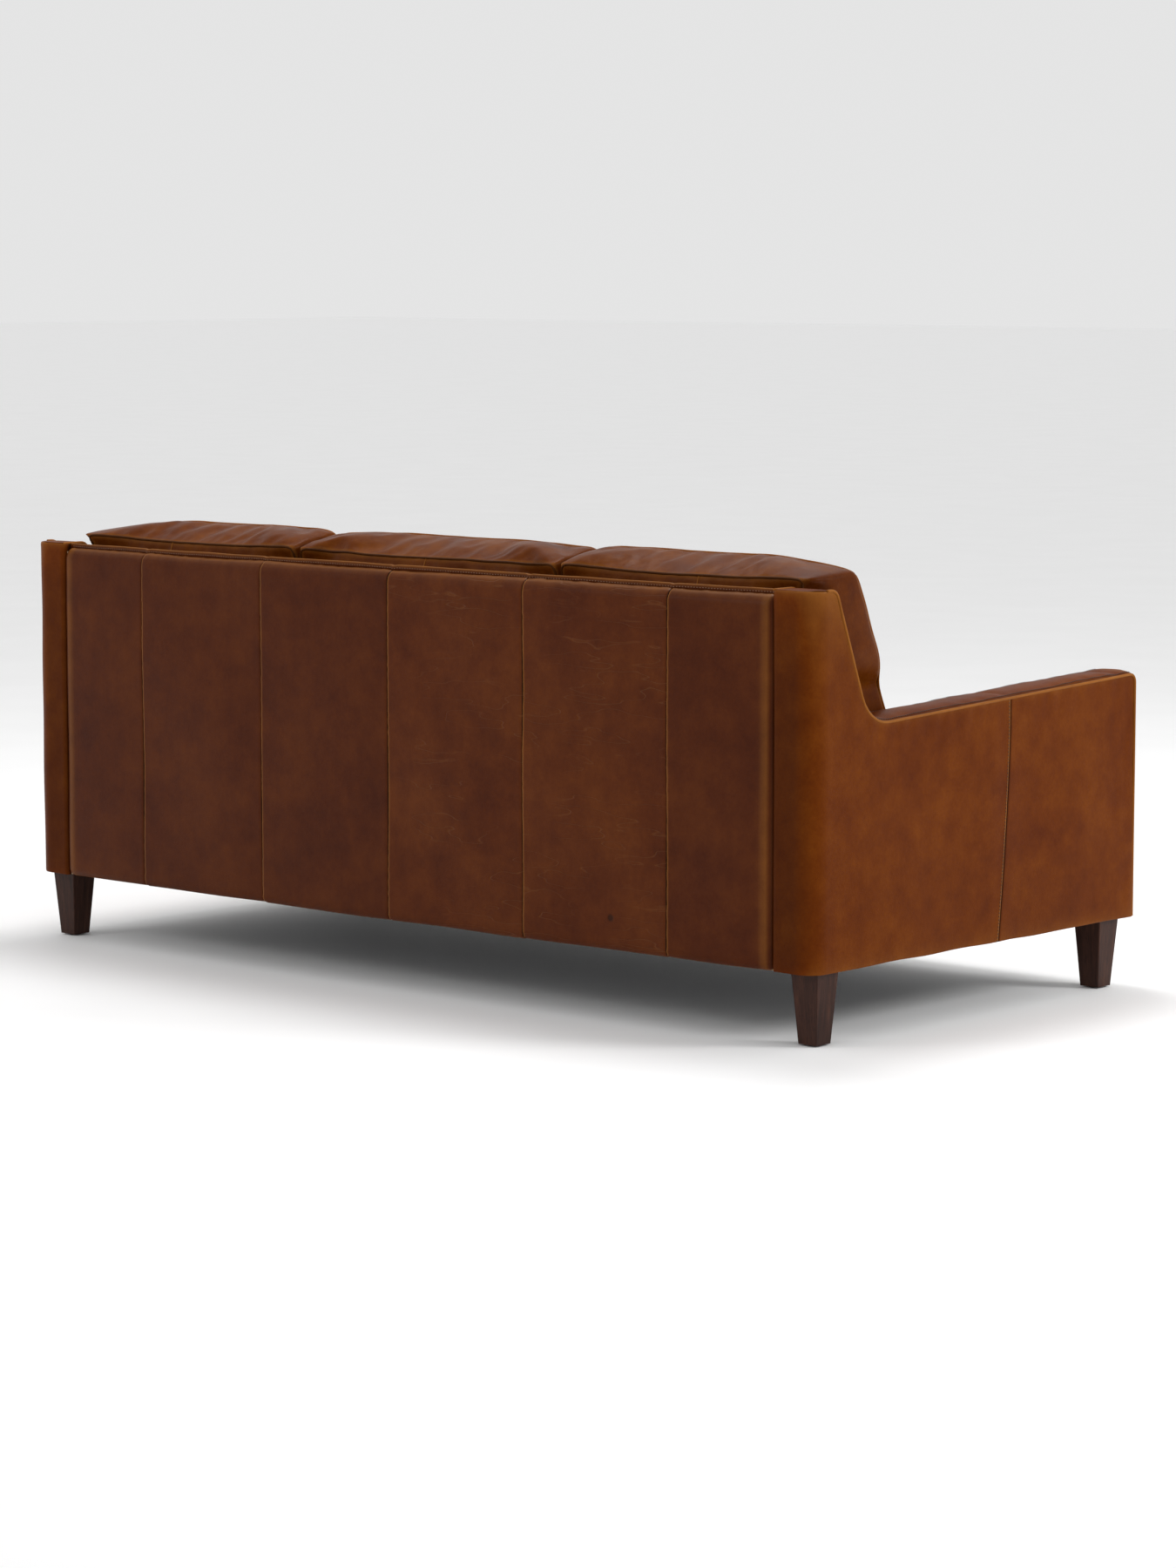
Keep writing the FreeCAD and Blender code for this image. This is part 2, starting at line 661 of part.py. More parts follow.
def make_arm(side_name, side):
    """One arm: a plywood box on posts and rails, padded, in a leather cover of four pieces."""
    def layer(name, start, thick, inset, rear, foot):
        return arm_slab(f"{name}_{side_name}", side, start, thick, inset, rear, foot)

    def zone(name, start, thick, depths, heights):
        return block(f"{name}_{side_name}", span(side, start, thick), depths, heights)

    def finish(piece, name):
        keep(piece, f"{name}_{side_name}")

    def outer_x(start):
        return f"({side} * ({HALF} - ({start})))"

    # the leather cover, as a shell that is open underneath
    blank = layer("arm_blank", "0", "Sizes.arm_width", "0", "0", "0")
    round_edges(blank, f"arm_corner_{side_name}", upright_edge_at(outer_x("0"), "0"),
                "Sizes.rear_corner_radius")
    stuffing_width = "Sizes.arm_width - 2 * Sizes.leather"
    hollow = layer("arm_hollow", "Sizes.leather", stuffing_width, "Sizes.leather", "Sizes.leather", BELOW)
    inner_corner = "Sizes.rear_corner_radius - Sizes.leather"
    hollow_edge = upright_edge_at(outer_x("Sizes.leather"), "Sizes.leather")
    round_edges(hollow, f"hollow_corner_{side_name}", hollow_edge, inner_corner)
    shell = cut(f"arm_shell_{side_name}", blank, hollow)

    # the cover's pieces: outside panel in two lengths, band over the top and front, inside panel
    past_rear = "-Sizes.rear_corner_radius"
    side_zone = zone("side_zone", "0", "Sizes.leather", (past_rear, "Sizes.side_seam_depth"), WHOLE_HEIGHT)
    wrap_heights = (WHOLE_HEIGHT[0], UNDER_BAND)
    wrap_zone = zone("wrap_zone", "Sizes.leather", "Sizes.arm_width - Sizes.leather",
                     (past_rear, "Sizes.rear_corner_radius"), wrap_heights)
    rear_zone = fuse(f"rear_zone_{side_name}", [side_zone, wrap_zone])
    finish(common(f"arm_outside_rear_{side_name}", shell, rear_zone), "arm_outside_rear")
    front_zone = zone("front_zone", "0", "Sizes.leather", ("Sizes.side_seam_depth", AHEAD), WHOLE_HEIGHT)
    finish(common(f"arm_outside_front_{side_name}", shell, front_zone), "arm_outside_front")
    strip_zone = zone("strip_zone", "Sizes.leather", stuffing_width, (past_rear, AHEAD), WHOLE_HEIGHT)
    strip = common(f"arm_strip_{side_name}", shell, strip_zone)
    finish(cut(f"arm_band_{side_name}", strip, wrap_zone), "arm_band")
    inside_start = "Sizes.arm_width - Sizes.leather"
    inside_zone = zone("inside_zone", inside_start, "Sizes.leather", (past_rear, AHEAD), WHOLE_HEIGHT)
    inside = common(f"arm_inside_whole_{side_name}", shell, inside_zone)
    inside = cut(f"arm_inside_cut_{side_name}", inside, wrap_zone)
    finish(cut(f"arm_inside_{side_name}", inside, bolt_holes[side_name]), "arm_inside")

    # thin pads on both faces of the plywood; the outer one turns the rear corner
    pad_blank = layer("pad_blank", "Sizes.leather", stuffing_width, "Sizes.leather", "Sizes.leather", "0")
    round_edges(pad_blank, f"pad_corner_{side_name}", hollow_edge, inner_corner)
    wood_edge = "Sizes.rear_corner_radius - Sizes.leather - Sizes.arm_pad"
    wood_zone = doc.addObject("Part::Fillet", f"wood_zone_{side_name}")
    wood_block = zone("wood_block", SKIN_AND_PAD, "Sizes.arm_width", (SKIN_AND_PAD, AHEAD), WHOLE_HEIGHT)
    wood_zone.Base = wood_block
    doc.recompute()
    test = upright_edge_at(outer_x(SKIN_AND_PAD), SKIN_AND_PAD)
    corner = [place for place, edge in enumerate(wood_block.Shape.Edges, start=1) if test(edge)]
    wood_zone.Edges = [(place, number(wood_edge), number(wood_edge)) for place in corner]
    outer_pad = cut(f"outer_pad_{side_name}", pad_blank, wood_zone)
    inner_pad = layer("inner_pad", f"Sizes.arm_width - {SKIN_AND_PAD}", "Sizes.arm_pad",
                      "Sizes.leather", SKIN_AND_PAD, "0")
    inner_pad = cut(f"inner_pad_drilled_{side_name}", inner_pad, bolt_holes[side_name])
    finish(group(f"arm_pads_{side_name}", [outer_pad, inner_pad]), "arm_pads")

    # foam strip over the top, the wing's slope and the front, under the band
    box_width = f"Sizes.arm_width - 2 * {SKIN_AND_PAD}"
    foam = layer("foam_blank", SKIN_AND_PAD, box_width, "Sizes.leather", POST_FRONT, "0")
    core = layer("foam_hollow", "Sizes.leather", stuffing_width, WOOD_INSET, "Sizes.leather", BELOW)
    finish(cut(f"arm_top_foam_{side_name}", foam, core), "arm_top_foam")

    # plywood faces
    outer_board = layer("outer_board", SKIN_AND_PAD, "Sizes.plywood", WOOD_INSET, POST_FRONT, "0")
    inner_start = f"Sizes.arm_width - {SKIN_AND_PAD} - Sizes.plywood"
    inner_board = layer("inner_board", inner_start, "Sizes.plywood", WOOD_INSET, POST_FRONT, "0")
    inner_board = cut(f"inner_board_drilled_{side_name}", inner_board, bolt_holes[side_name])
    finish(group(f"arm_boards_{side_name}", [outer_board, inner_board]), "arm_boards")

    # posts and rails between the plywood faces
    stud_start = f"({SKIN_AND_PAD} + Sizes.plywood)"
    stud_width = f"(Sizes.arm_width - 2 * {stud_start})"
    post_zone = zone("post_zone", SKIN_AND_PAD, box_width, (SKIN_AND_PAD, POST_FRONT), (BASE, UNDER_BAND))
    rear_post = common(f"rear_post_{side_name}", post_zone, wood_zone)
    inner_front = f"({BODY_DEPTH} - Sizes.arm_nose_radius)"
    post_rear = f"({inner_front} - Sizes.rail_thick)"
    lines = arm_corners(WOOD_INSET, "0", "0")
    under = arm_corners(f"({WOOD_INSET} + Sizes.rail_thick)", "0", "0")
    rise = "tan(Sizes.arm_slope)"

    def under_top_rail(depth):
        return f"({under['arm_nose'][1]} - ({under['arm_nose'][0]} - ({depth})) * {rise})"

    def stud(name, depths):
        corners = [
            (depths[0], stud_foot[name]),
            (depths[0], under_top_rail(depths[0])),
            (depths[1], under_top_rail(depths[1])),
            (depths[1], stud_foot[name]),
        ]
        low, high = span(side, stud_start, stud_width)
        return prism(f"{name}_{side_name}", corners, low, high)

    rail_up = f"({BASE} + Sizes.rail_thick + Sizes.plywood)"
    stud_foot = {"front_post": BASE, "middle_stud": rail_up}
    front_post = stud("front_post", (post_rear, inner_front))
    seam = "Sizes.side_seam_depth"
    middle_stud = stud("middle_stud", (f"{seam} - Sizes.rail_thick", seam))
    foot_rail = zone("foot_rail", stud_start, stud_width, (POST_FRONT, post_rear), (BASE, rail_up))
    foot_rail = cut(f"foot_rail_drilled_{side_name}", foot_rail, leg_bolt_holes)
    throat_depth = lines["throat"][0]
    top_rail_corners = [
        (throat_depth, under_top_rail(throat_depth)),
        lines["throat"],
        (inner_front, f"{lines['arm_nose'][1]} - ({lines['arm_nose'][0]} - {inner_front}) * {rise}"),
        (inner_front, under_top_rail(inner_front)),
    ]
    low, high = span(side, stud_start, stud_width)
    top_rail = prism(f"arm_top_rail_{side_name}", top_rail_corners, low, high)
    wing_foot = f"({lines['throat'][1]} + Sizes.plywood)"
    wing_top = f"({lines['wing_nose'][1]} - Sizes.plywood)"

    def wing_line(height, behind):
        return f"({inside_back(height, behind)} + Sizes.wing_top_depth - Sizes.inside_top_depth)"

    wing_behind = f"{WOOD_INSET} + Sizes.plywood"
    wing_corners = [
        (wing_line(wing_foot, wing_behind), wing_foot),
        (wing_line(wing_top, wing_behind), wing_top),
        (wing_line(wing_top, WOOD_INSET), wing_top),
        (wing_line(wing_foot, WOOD_INSET), wing_foot),
    ]
    wing_rail = prism(f"wing_rail_{side_name}", wing_corners, low, high)
    studs = [rear_post, front_post, middle_stud, foot_rail, top_rail, wing_rail]
    finish(group(f"arm_studs_{side_name}", studs), "arm_studs")


# ---------------------------------------------------------------- legs, with their bolts and glides

LEG_ACROSS = f"({HALF} - Sizes.leg_inset - Sizes.leg_foot / 2)"
FRONT_LEG_DEPTH = f"({BODY_DEPTH} - Sizes.front_leg_inset)"
LEG_PLACES = {
    "rear_left": (-1, "Sizes.rear_leg_depth"),
    "rear_right": (1, "Sizes.rear_leg_depth"),
    "front_left": (-1, FRONT_LEG_DEPTH),
    "front_right": (1, FRONT_LEG_DEPTH),
}
glides = []
leg_bolts = []
bolt_tools = []
for leg_name, (side, depth) in LEG_PLACES.items():
    middle = f"({side} * {LEG_ACROSS})"
    bolt_low = "(Sizes.leg_height - Sizes.leg_bolt_in_leg)"
    bolt_long = "Sizes.leg_bolt_in_leg + Sizes.dust_cloth + Sizes.leg_bolt_in_rail"
    base = (middle, depth, bolt_low)
    leg_bolts.append(rod(f"leg_bolt_{leg_name}", "Sizes.leg_bolt_radius", bolt_long, base, *UP))
    wide = "Sizes.leg_bolt_radius + Sizes.bolt_play"
    bolt_tools.append(rod(f"leg_bolt_hole_{leg_name}", wide, bolt_long, base, *UP))
    glide_base = (middle, depth, "0")
    glides.append(rod(f"glide_{leg_name}", "Sizes.glide_radius", "Sizes.glide_high", glide_base, *UP))
leg_bolt_holes = group("leg_bolt_holes", bolt_tools)


def tapered_leg(name, side, depth):
    """A square leg that tapers evenly on all four faces, with softened long edges."""
    body = doc.addObject("PartDesign::Body", name)
    square = body.newObject("Sketcher::SketchObject", f"{name}_foot")
    square.AttachmentSupport = (origin_plane(body, "XY_Plane"), [""])
    square.MapMode = "FlatFace"
    square.setExpression("AttachmentOffset.Base.z", "Sizes.glide_high")
    places = []
    for across, along in ((-1, -1), (1, -1), (1, 1), (-1, 1)):
        x = f"{side} * {LEG_ACROSS} + {across} * Sizes.leg_foot / 2"
        y = f"{y_at(depth)} + {along} * Sizes.leg_foot / 2"
        places.append((x, y))
    draw_outline(square, places)
    pad = body.newObject("PartDesign::Pad", f"{name}_pad")
    pad.Profile = square
    pad.setExpression("Length", "Sizes.leg_height - Sizes.glide_high")
    taper = "(Sizes.leg_top - Sizes.leg_foot) / 2 / (Sizes.leg_height - Sizes.glide_high)"
    pad.setExpression("TaperAngle", f"atan({taper})")
    doc.recompute()

    def long_edge(edge):
        low = min(vertex.Point.z for vertex in edge.Vertexes)
        high = max(vertex.Point.z for vertex in edge.Vertexes)
        return high - low > 1
    names = [f"Edge{place}" for place, edge in enumerate(pad.Shape.Edges, start=1) if long_edge(edge)]
    chamfer = body.newObject("PartDesign::Chamfer", f"{name}_edges")
    chamfer.Base = (pad, names)
    chamfer.setExpression("Size", "Sizes.leg_edge")
    doc.recompute()
    return body


for leg_name, (side, depth) in LEG_PLACES.items():
    leg = tapered_leg(f"leg_body_{leg_name}", side, depth)
    keep(cut(f"leg_{leg_name}", leg, leg_bolt_holes), f"leg_{leg_name}")
keep(group("leg_bolts", leg_bolts), "leg_bolts")
keep(group("leg_glides", glides), "leg_glides")

for side_name, side in SIDES.items():
    make_arm(side_name, side)

# ---------------------------------------------------------------- dust cover under the frame

cloth_across = (f"-({HALF} - Sizes.cloth_inset)", f"{HALF} - Sizes.cloth_inset")
cloth_depths = ("Sizes.cloth_inset", f"{BORDER_DEPTH} - Sizes.cloth_inset")
cloth = block("cloth_sheet", cloth_across, cloth_depths, ("Sizes.leg_height", BASE))
keep(cut("dust_cover", cloth, leg_bolt_holes), "dust_cover")

# ---------------------------------------------------------------- cushions

OUTER_EDGE = f"({INNER} - Sizes.arm_play)"
SPLIT = "(Sizes.middle_width / 2)"
SEAT_PLACES = {
    "left": (f"-{OUTER_EDGE}", f"-({SPLIT} + Sizes.cushion_gap)"),
    "middle": (f"-{SPLIT}", SPLIT),
    "right": (f"({SPLIT} + Sizes.cushion_gap)", OUTER_EDGE),
}
SEAT_REAR = f"({inside_back(INSIDE_FOOT)} + 2 * Sizes.leather)"
SEAT_FRONT = f"({BODY_DEPTH} - Sizes.seat_setback)"


def all_edges(edge):
    """A test that picks every edge."""
    return True


def seat_form(name, across, inset):
    """A seat cushion's form, set in on every side: a slab that lies on the sloped deck."""
    rear = f"({SEAT_REAR} + {inset})"
    front = f"({SEAT_FRONT} - {inset})"
    low = f"{DECK_TOP} + Sizes.seat_lift + {inset}"
    high = f"{SEAT_TOP} - {inset}"
    corners = [
        (rear, deck_plane(rear, low)),
        (rear, deck_plane(rear, high)),
        (front, deck_plane(front, high)),
        (front, deck_plane(front, low)),
    ]
    form = prism(name, corners, f"{across[0]} + {inset}", f"{across[1]} - {inset}")
    return round_edges(form, f"{name}_round", all_edges, f"Sizes.seat_round - {inset}")


def back_form(name, across, inset):
    """A back cushion's form, set in on every side: it leans on the inside back and has a crowned top."""
    rise = "tan(Sizes.seat_slope)"
    seat_zero = deck_plane("0", f"{SEAT_TOP} + Sizes.back_lift + {inset}")
    play = f"(Sizes.back_play + {inset})"

    def foot(behind):
        face = f"Sizes.inside_top_depth - ({behind}) / cos(Sizes.back_lean)"
        depth = f"(({face} + (Sizes.back_height - {seat_zero}) * {LEAN}) / (1 + {rise} * {LEAN}))"
        return depth, f"({seat_zero} + {depth} * {rise})"

    top = f"(Sizes.cushion_height - {inset})"
    rear_side = f"-{play}"
    front_side = f"-(Sizes.back_play + Sizes.back_thick - {inset})"
    corners = [
        foot(rear_side),
        (inside_back(top, rear_side), top),
        (inside_back(top, front_side), top),
        foot(front_side),
    ]
    form = prism(name, corners, f"{across[0]} + {inset}", f"{across[1]} - {inset}")
    tops = [edge_at(*corners[1]), edge_at(*corners[2])]
    feet = [edge_at(*corners[0]), edge_at(*corners[3])]
    round_edges(form, f"{name}_crown", lambda edge: any(test(edge) for test in tops),
                f"Sizes.back_top_round - {inset}")
    round_edges(form, f"{name}_foot", lambda edge: any(test(edge) for test in feet),
                f"Sizes.back_round - {inset}")
    ends = (number(f"{across[0]} + {inset}"), number(f"{across[1]} - {inset}"))

    def end_loop(edge):
        box = edge.BoundBox
        return any(abs(box.XMin - end) < 0.01 and abs(box.XMax - end) < 0.01 for end in ends)
    return round_edges(form, f"{name}_ends", end_loop, f"Sizes.back_round - {inset}")


def cushion(name, across, form):
    """A leather case and the filled core inside it."""
    outer = form(f"{name}_form", across, "0")
    hollow = form(f"{name}_hollow", across, "Sizes.leather")
    case = cut(f"{name}_case", outer, hollow)
    core = form(f"{name}_core", across, "(Sizes.leather + Sizes.core_play)")
    return case, core


def shoulder(name, side):
    """The swell of an outer back cushion past the arm's face, above the arm and in front of the wing."""
    start = f"({OUTER_EDGE} - Sizes.back_round)"
    past = f"({OUTER_EDGE} + Sizes.shoulder)"
    low = "(Sizes.arm_front_height + Sizes.shoulder_play)"
    high = "(Sizes.cushion_height - Sizes.back_top_round)"
    lean_gap = "Sizes.wing_top_depth - Sizes.inside_top_depth + Sizes.shoulder_play"
    rear_side = f"-({lean_gap} + Sizes.back_round)"
    front_side = "-(Sizes.back_play + Sizes.back_thick - Sizes.back_round)"
    corners = [
        (inside_back(low, rear_side), low),
        (inside_back(high, rear_side), high),
        (inside_back(high, front_side), high),
        (inside_back(low, front_side), low),
    ]
    across = (start, past) if side > 0 else (f"-{past}", f"-{start}")
    return prism(name, corners, *across)


for place_name, across in SEAT_PLACES.items():
    case, core = cushion(f"seat_cushion_{place_name}", across, seat_form)
    keep(case, f"seat_cushion_case_{place_name}")
    keep(core, f"seat_cushion_core_{place_name}")
for place_name, across in SEAT_PLACES.items():
    case, core = cushion(f"back_cushion_{place_name}", across, back_form)
    if place_name in SIDES:
        swell = shoulder(f"shoulder_{place_name}", SIDES[place_name])
        room = back_form(f"shoulder_room_{place_name}", across, "Sizes.leather")
        swell = cut(f"shoulder_cut_{place_name}", swell, room)
        case = fuse(f"back_case_{place_name}", [case, swell])
    keep(case, f"back_cushion_case_{place_name}")
    keep(core, f"back_cushion_core_{place_name}")

# ---------------------------------------------------------------- checks and export

doc.recompute()
for item in doc.Objects:
    if "Invalid" in item.State or "Error" in item.State:
        raise RuntimeError(f"{item.Name} is in state {item.State}")
labels = [piece.Label for piece in MODEL]
if len(labels) != len(set(labels)):
    raise RuntimeError("two sub-parts share a label")
for piece in MODEL:
    if piece.Shape.isNull() or not piece.Shape.isValid() or not piece.Shape.Solids:
        raise RuntimeError(f"{piece.Label} has no sound shape")

os.makedirs("parts", exist_ok=True)
for piece in MODEL:
    piece.Shape.exportStep(f"parts/{piece.Label}.step")
whole = FreeCAD.BoundBox()
for piece in MODEL:
    whole.add(piece.Shape.BoundBox)
print(len(MODEL), "sub-parts, size", round(whole.XLength, 2), round(whole.YLength, 2), round(whole.ZLength, 2))
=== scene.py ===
import math

import bmesh
import bpy
import numpy as np
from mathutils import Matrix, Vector


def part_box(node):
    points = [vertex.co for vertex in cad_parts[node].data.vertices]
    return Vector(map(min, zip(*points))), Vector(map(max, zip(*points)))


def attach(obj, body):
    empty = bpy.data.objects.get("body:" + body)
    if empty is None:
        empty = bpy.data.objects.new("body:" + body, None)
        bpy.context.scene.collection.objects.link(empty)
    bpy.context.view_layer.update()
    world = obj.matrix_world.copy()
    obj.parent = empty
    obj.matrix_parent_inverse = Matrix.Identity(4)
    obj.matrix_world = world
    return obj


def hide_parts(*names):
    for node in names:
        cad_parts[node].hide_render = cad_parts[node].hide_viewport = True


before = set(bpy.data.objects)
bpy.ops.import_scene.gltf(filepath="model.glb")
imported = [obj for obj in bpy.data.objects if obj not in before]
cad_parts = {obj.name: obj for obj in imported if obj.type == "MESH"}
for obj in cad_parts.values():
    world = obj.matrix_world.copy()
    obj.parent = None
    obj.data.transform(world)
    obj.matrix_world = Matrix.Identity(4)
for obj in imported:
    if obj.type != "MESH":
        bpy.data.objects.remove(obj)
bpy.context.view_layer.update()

# ------------------------------ legs
# Four square legs of solid hardwood, tapered on all faces, stained very dark and lacquered.
# Each is turned onto a bolt under an arm and stands on a plastic glide.


class Value:
    """A socket of a node tree, on which Python's + - and * add the Math nodes that they need."""

    def __init__(self, tree, socket):
        self.tree = tree
        self.socket = socket

    def maths(self, operation, first, second):
        return add_node(self.tree, "ShaderNodeMath", {"operation": operation}, {0: first, 1: second})

    def __add__(self, other):
        return self.maths("ADD", self, other)

    def __radd__(self, other):
        return self.maths("ADD", other, self)

    def __sub__(self, other):
        return self.maths("SUBTRACT", self, other)

    def __rsub__(self, other):
        return self.maths("SUBTRACT", other, self)

    def __mul__(self, other):
        return self.maths("MULTIPLY", self, other)

    def __rmul__(self, other):
        return self.maths("MULTIPLY", other, self)


def feed(tree, socket, item):
    """Links a value to a socket, or writes a plain number or colour into it."""
    if isinstance(item, Value):
        tree.links.new(item.socket, socket)
    else:
        socket.default_value = item


def add_node(tree, kind, settings, inputs, output=0):
    """Adds a node, makes its settings, then fills its sockets. Returns one of its outputs, if it has any."""
    node = tree.nodes.new(kind)
    for name, setting in settings.items():
        if name == "stops":
            elements = node.color_ramp.elements
            while len(elements) < len(setting):
                elements.new(1)
            for element, (place, shade) in zip(elements, setting):
                element.position = place
                element.color = (*shade, 1) if hasattr(shade, "__len__") else (shade, shade, shade, 1)
        else:
            setattr(node, name, setting)
    for name, item in inputs.items():
        feed(tree, node.inputs[name], item)
    return Value(tree, node.outputs[output]) if node.outputs else None


def new_material(name):
    """An empty node material, and its object coordinates."""
    material = bpy.data.materials.new(name)
    material.use_nodes = True
    tree = material.node_tree
    tree.nodes.clear()
    return material, add_node(tree, "ShaderNodeTexCoord", {}, {}, "Object")


def stretched(place, scale):
    """Coordinates scaled by a different amount along each axis."""
    return add_node(place.tree, "ShaderNodeMapping", {}, {"Vector": place, "Scale": scale})


def noise(place, scale, detail, rough):
    """Cloudy noise between 0 and 1."""
    sockets = {"Vector": place, "Scale": scale, "Detail": detail, "Roughness": rough}
    return add_node(place.tree, "ShaderNodeTexNoise", {}, sockets)


def ramp(value, *stops):
    """Shades between stops, each a place from 0 to 1 and a grey or a colour."""
    return add_node(value.tree, "ShaderNodeValToRGB", {"stops": stops}, {"Fac": value})


def blend_colours(share, first, second):
    """A colour between a first and a plain second one, by a share. The Mix node's colours are 6, 7 and 2."""
    sockets = {0: share, 6: first, 7: (*second, 1)}
    return add_node(share.tree, "ShaderNodeMix", {"data_type": "RGBA"}, sockets, 2)


def surface(material, sockets, bump=None, depth=0.0005, strength=1.0):
    """Closes a material with its shader and output, and an optional bump of a depth in metres."""
    tree = material.node_tree
    if bump is not None:
        raised = {"Height": bump, "Distance": depth, "Strength": strength}
        sockets["Normal"] = add_node(tree, "ShaderNodeBump", {}, raised)
    shader = add_node(tree, "ShaderNodeBsdfPrincipled", {}, sockets)
    add_node(tree, "ShaderNodeOutputMaterial", {}, {"Surface": shader})
    return material


def stained_wood():
    """Dark stained hardwood: reddish pores that run up the leg, under satin lacquer."""
    material, place = new_material("leg_wood")
    lines = noise(stretched(place, (90, 90, 7)), 1.0, 6, 0.6)
    pores = noise(stretched(place, (700, 700, 26)), 1.0, 2, 0.5)
    tone = ramp(lines, (0.3, (0.022, 0.008, 0.005)), (0.55, (0.042, 0.0155, 0.0095)),
                (0.75, (0.07, 0.026, 0.014)))
    tone = blend_colours(ramp(pores, (0.56, 0.0), (0.68, 0.55)), tone, (0.007, 0.004, 0.003))
    return surface(material, {"Base Color": tone, "Roughness": 0.36 + 0.16 * lines, "Specular IOR Level": 0.12,
                              "Coat Weight": 0.05, "Coat Roughness": 0.3}, lines + 0.6 * pores, 0.0003, 0.5)


def dress(names, material):
    """Gives CAD pieces a finish."""
    for name in names:
        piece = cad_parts[name]
        piece.data.materials.clear()
        piece.data.materials.append(material)


CORNERS = ("front_left", "front_right", "rear_left", "rear_right")
dress([f"leg_{corner}" for corner in CORNERS], stained_wood())


def speckled(name, cloud, stops, rough, relief, stretch=None, **constants):
    """A plain finish whose shade, gloss and relief all follow one noise: its scale, detail and roughness."""
    material, place = new_material(name)
    marks = noise(stretched(place, stretch) if stretch else place, *cloud)
    sockets = {"Base Color": ramp(marks, *stops), "Roughness": rough[0], **constants}
    if len(rough) > 1:
        sockets["Roughness"] = rough[0] + rough[1] * marks
    return surface(material, sockets, *([marks, *relief] if relief else []))


# black moulded plastic, scuffed underneath
dress(["leg_glides"], speckled("glide_plastic", (400.0, 3, 0.6), ((0.4, 0.012), (0.7, 0.035)), (0.45, 0.25),
                               (0.0001, 0.4)))

# ------------------------------ frame
# Rails, studs and blocks of sawn hardwood, faces and uprights of plywood, glued and stapled.
# They are hidden by the covers, and keep the shapes that they are cut to.

# unfinished wood with its grain along one axis, by how fine it is along each
for slot, pale, deep, grain, names in (
        ("frame_timber", (0.62, 0.45, 0.27), (0.42, 0.28, 0.15), (9, 60, 60),
         ["seat_front_rail", "seat_rear_rail", "seat_spring_rail", "seat_long_rails", "corner_blocks",
          "back_top_rail", "arm_studs_left", "arm_studs_right"]),
        ("plywood", (0.66, 0.5, 0.32), (0.5, 0.36, 0.21), (50, 8, 50),
         ["back_uprights", "arm_boards_left", "arm_boards_right"])):
    wood = speckled(slot, (1.0, 5, 0.6), ((0.3, deep), (0.7, pale)), (0.6, 0.2), (0.0003, 0.4), grain)
    dress(names, wood)

# drawn and plated steel with faint marks
for slot, names, shade, rough in (("spring_steel", ["seat_springs", "spring_clips"], 0.4, 0.32),
                                  ("bolt_steel", ["arm_bolts", "leg_bolts"], 0.62, 0.28)):
    dress(names, speckled(slot, (300.0, 4, 0.6), ((0.3, shade * 0.75), (0.7, shade)), (rough, 0.15),
                          (0.0001, 0.3), Metallic=1.0))

# cream foam and fibre padding with open cells
padding = speckled("padding", (900.0, 2, 0.5), ((0.35, (0.62, 0.58, 0.46)), (0.65, (0.8, 0.77, 0.66))),
                   (0.9, 0.1), (0.0006, 0.6))
dress([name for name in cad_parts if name.endswith(("_pad", "_liner")) or "_pads_" in name
       or "_foam_" in name or "_core_" in name], padding)


def woven(name, warp, weft, threads, rough=0.85):
    """A plain weave, by its two thread colours and the number of threads in a metre."""
    material, place = new_material(name)
    over, under = (add_node(place.tree, "ShaderNodeTexWave", {"wave_type": "BANDS", "bands_direction": way},
                            {"Vector": place, "Scale": threads / 20, "Distortion": 0.4, "Detail": 1.0}, "Fac")
                   for way in "XY")
    cross = over * under
    return surface(material, {"Base Color": ramp(cross, (0.05, weft), (0.5, warp)), "Roughness": rough},
                   over + under, 0.0004, 0.6)


dress(["back_webbing"], woven("webbing", (0.3, 0.23, 0.15), (0.16, 0.11, 0.07), 500))

# ------------------------------ outside back
# Six panels of waxed leather, sewn edge to edge, drawn over a liner that swells out in the middle.
# They roll in under the top flange, under the bottom rail, and at each end into the slot by the arm.

HIDE = 0.0018                        # how thick the leather is, in metres
RUBBED_AND_HIGHLIGHT = (0.3, 0.115, 0.022)         # where rubbing, stretching or folding lightens it, and painted highlight on seam edges, slot ends and the wing tops
PAINTED_SHADE = (0.008, 0.0025, 0.001)        # painted shade down in a seam or a slot
CREASED = (0.17, 0.062, 0.018)
SCARRED = (0.014, 0.005, 0.003)


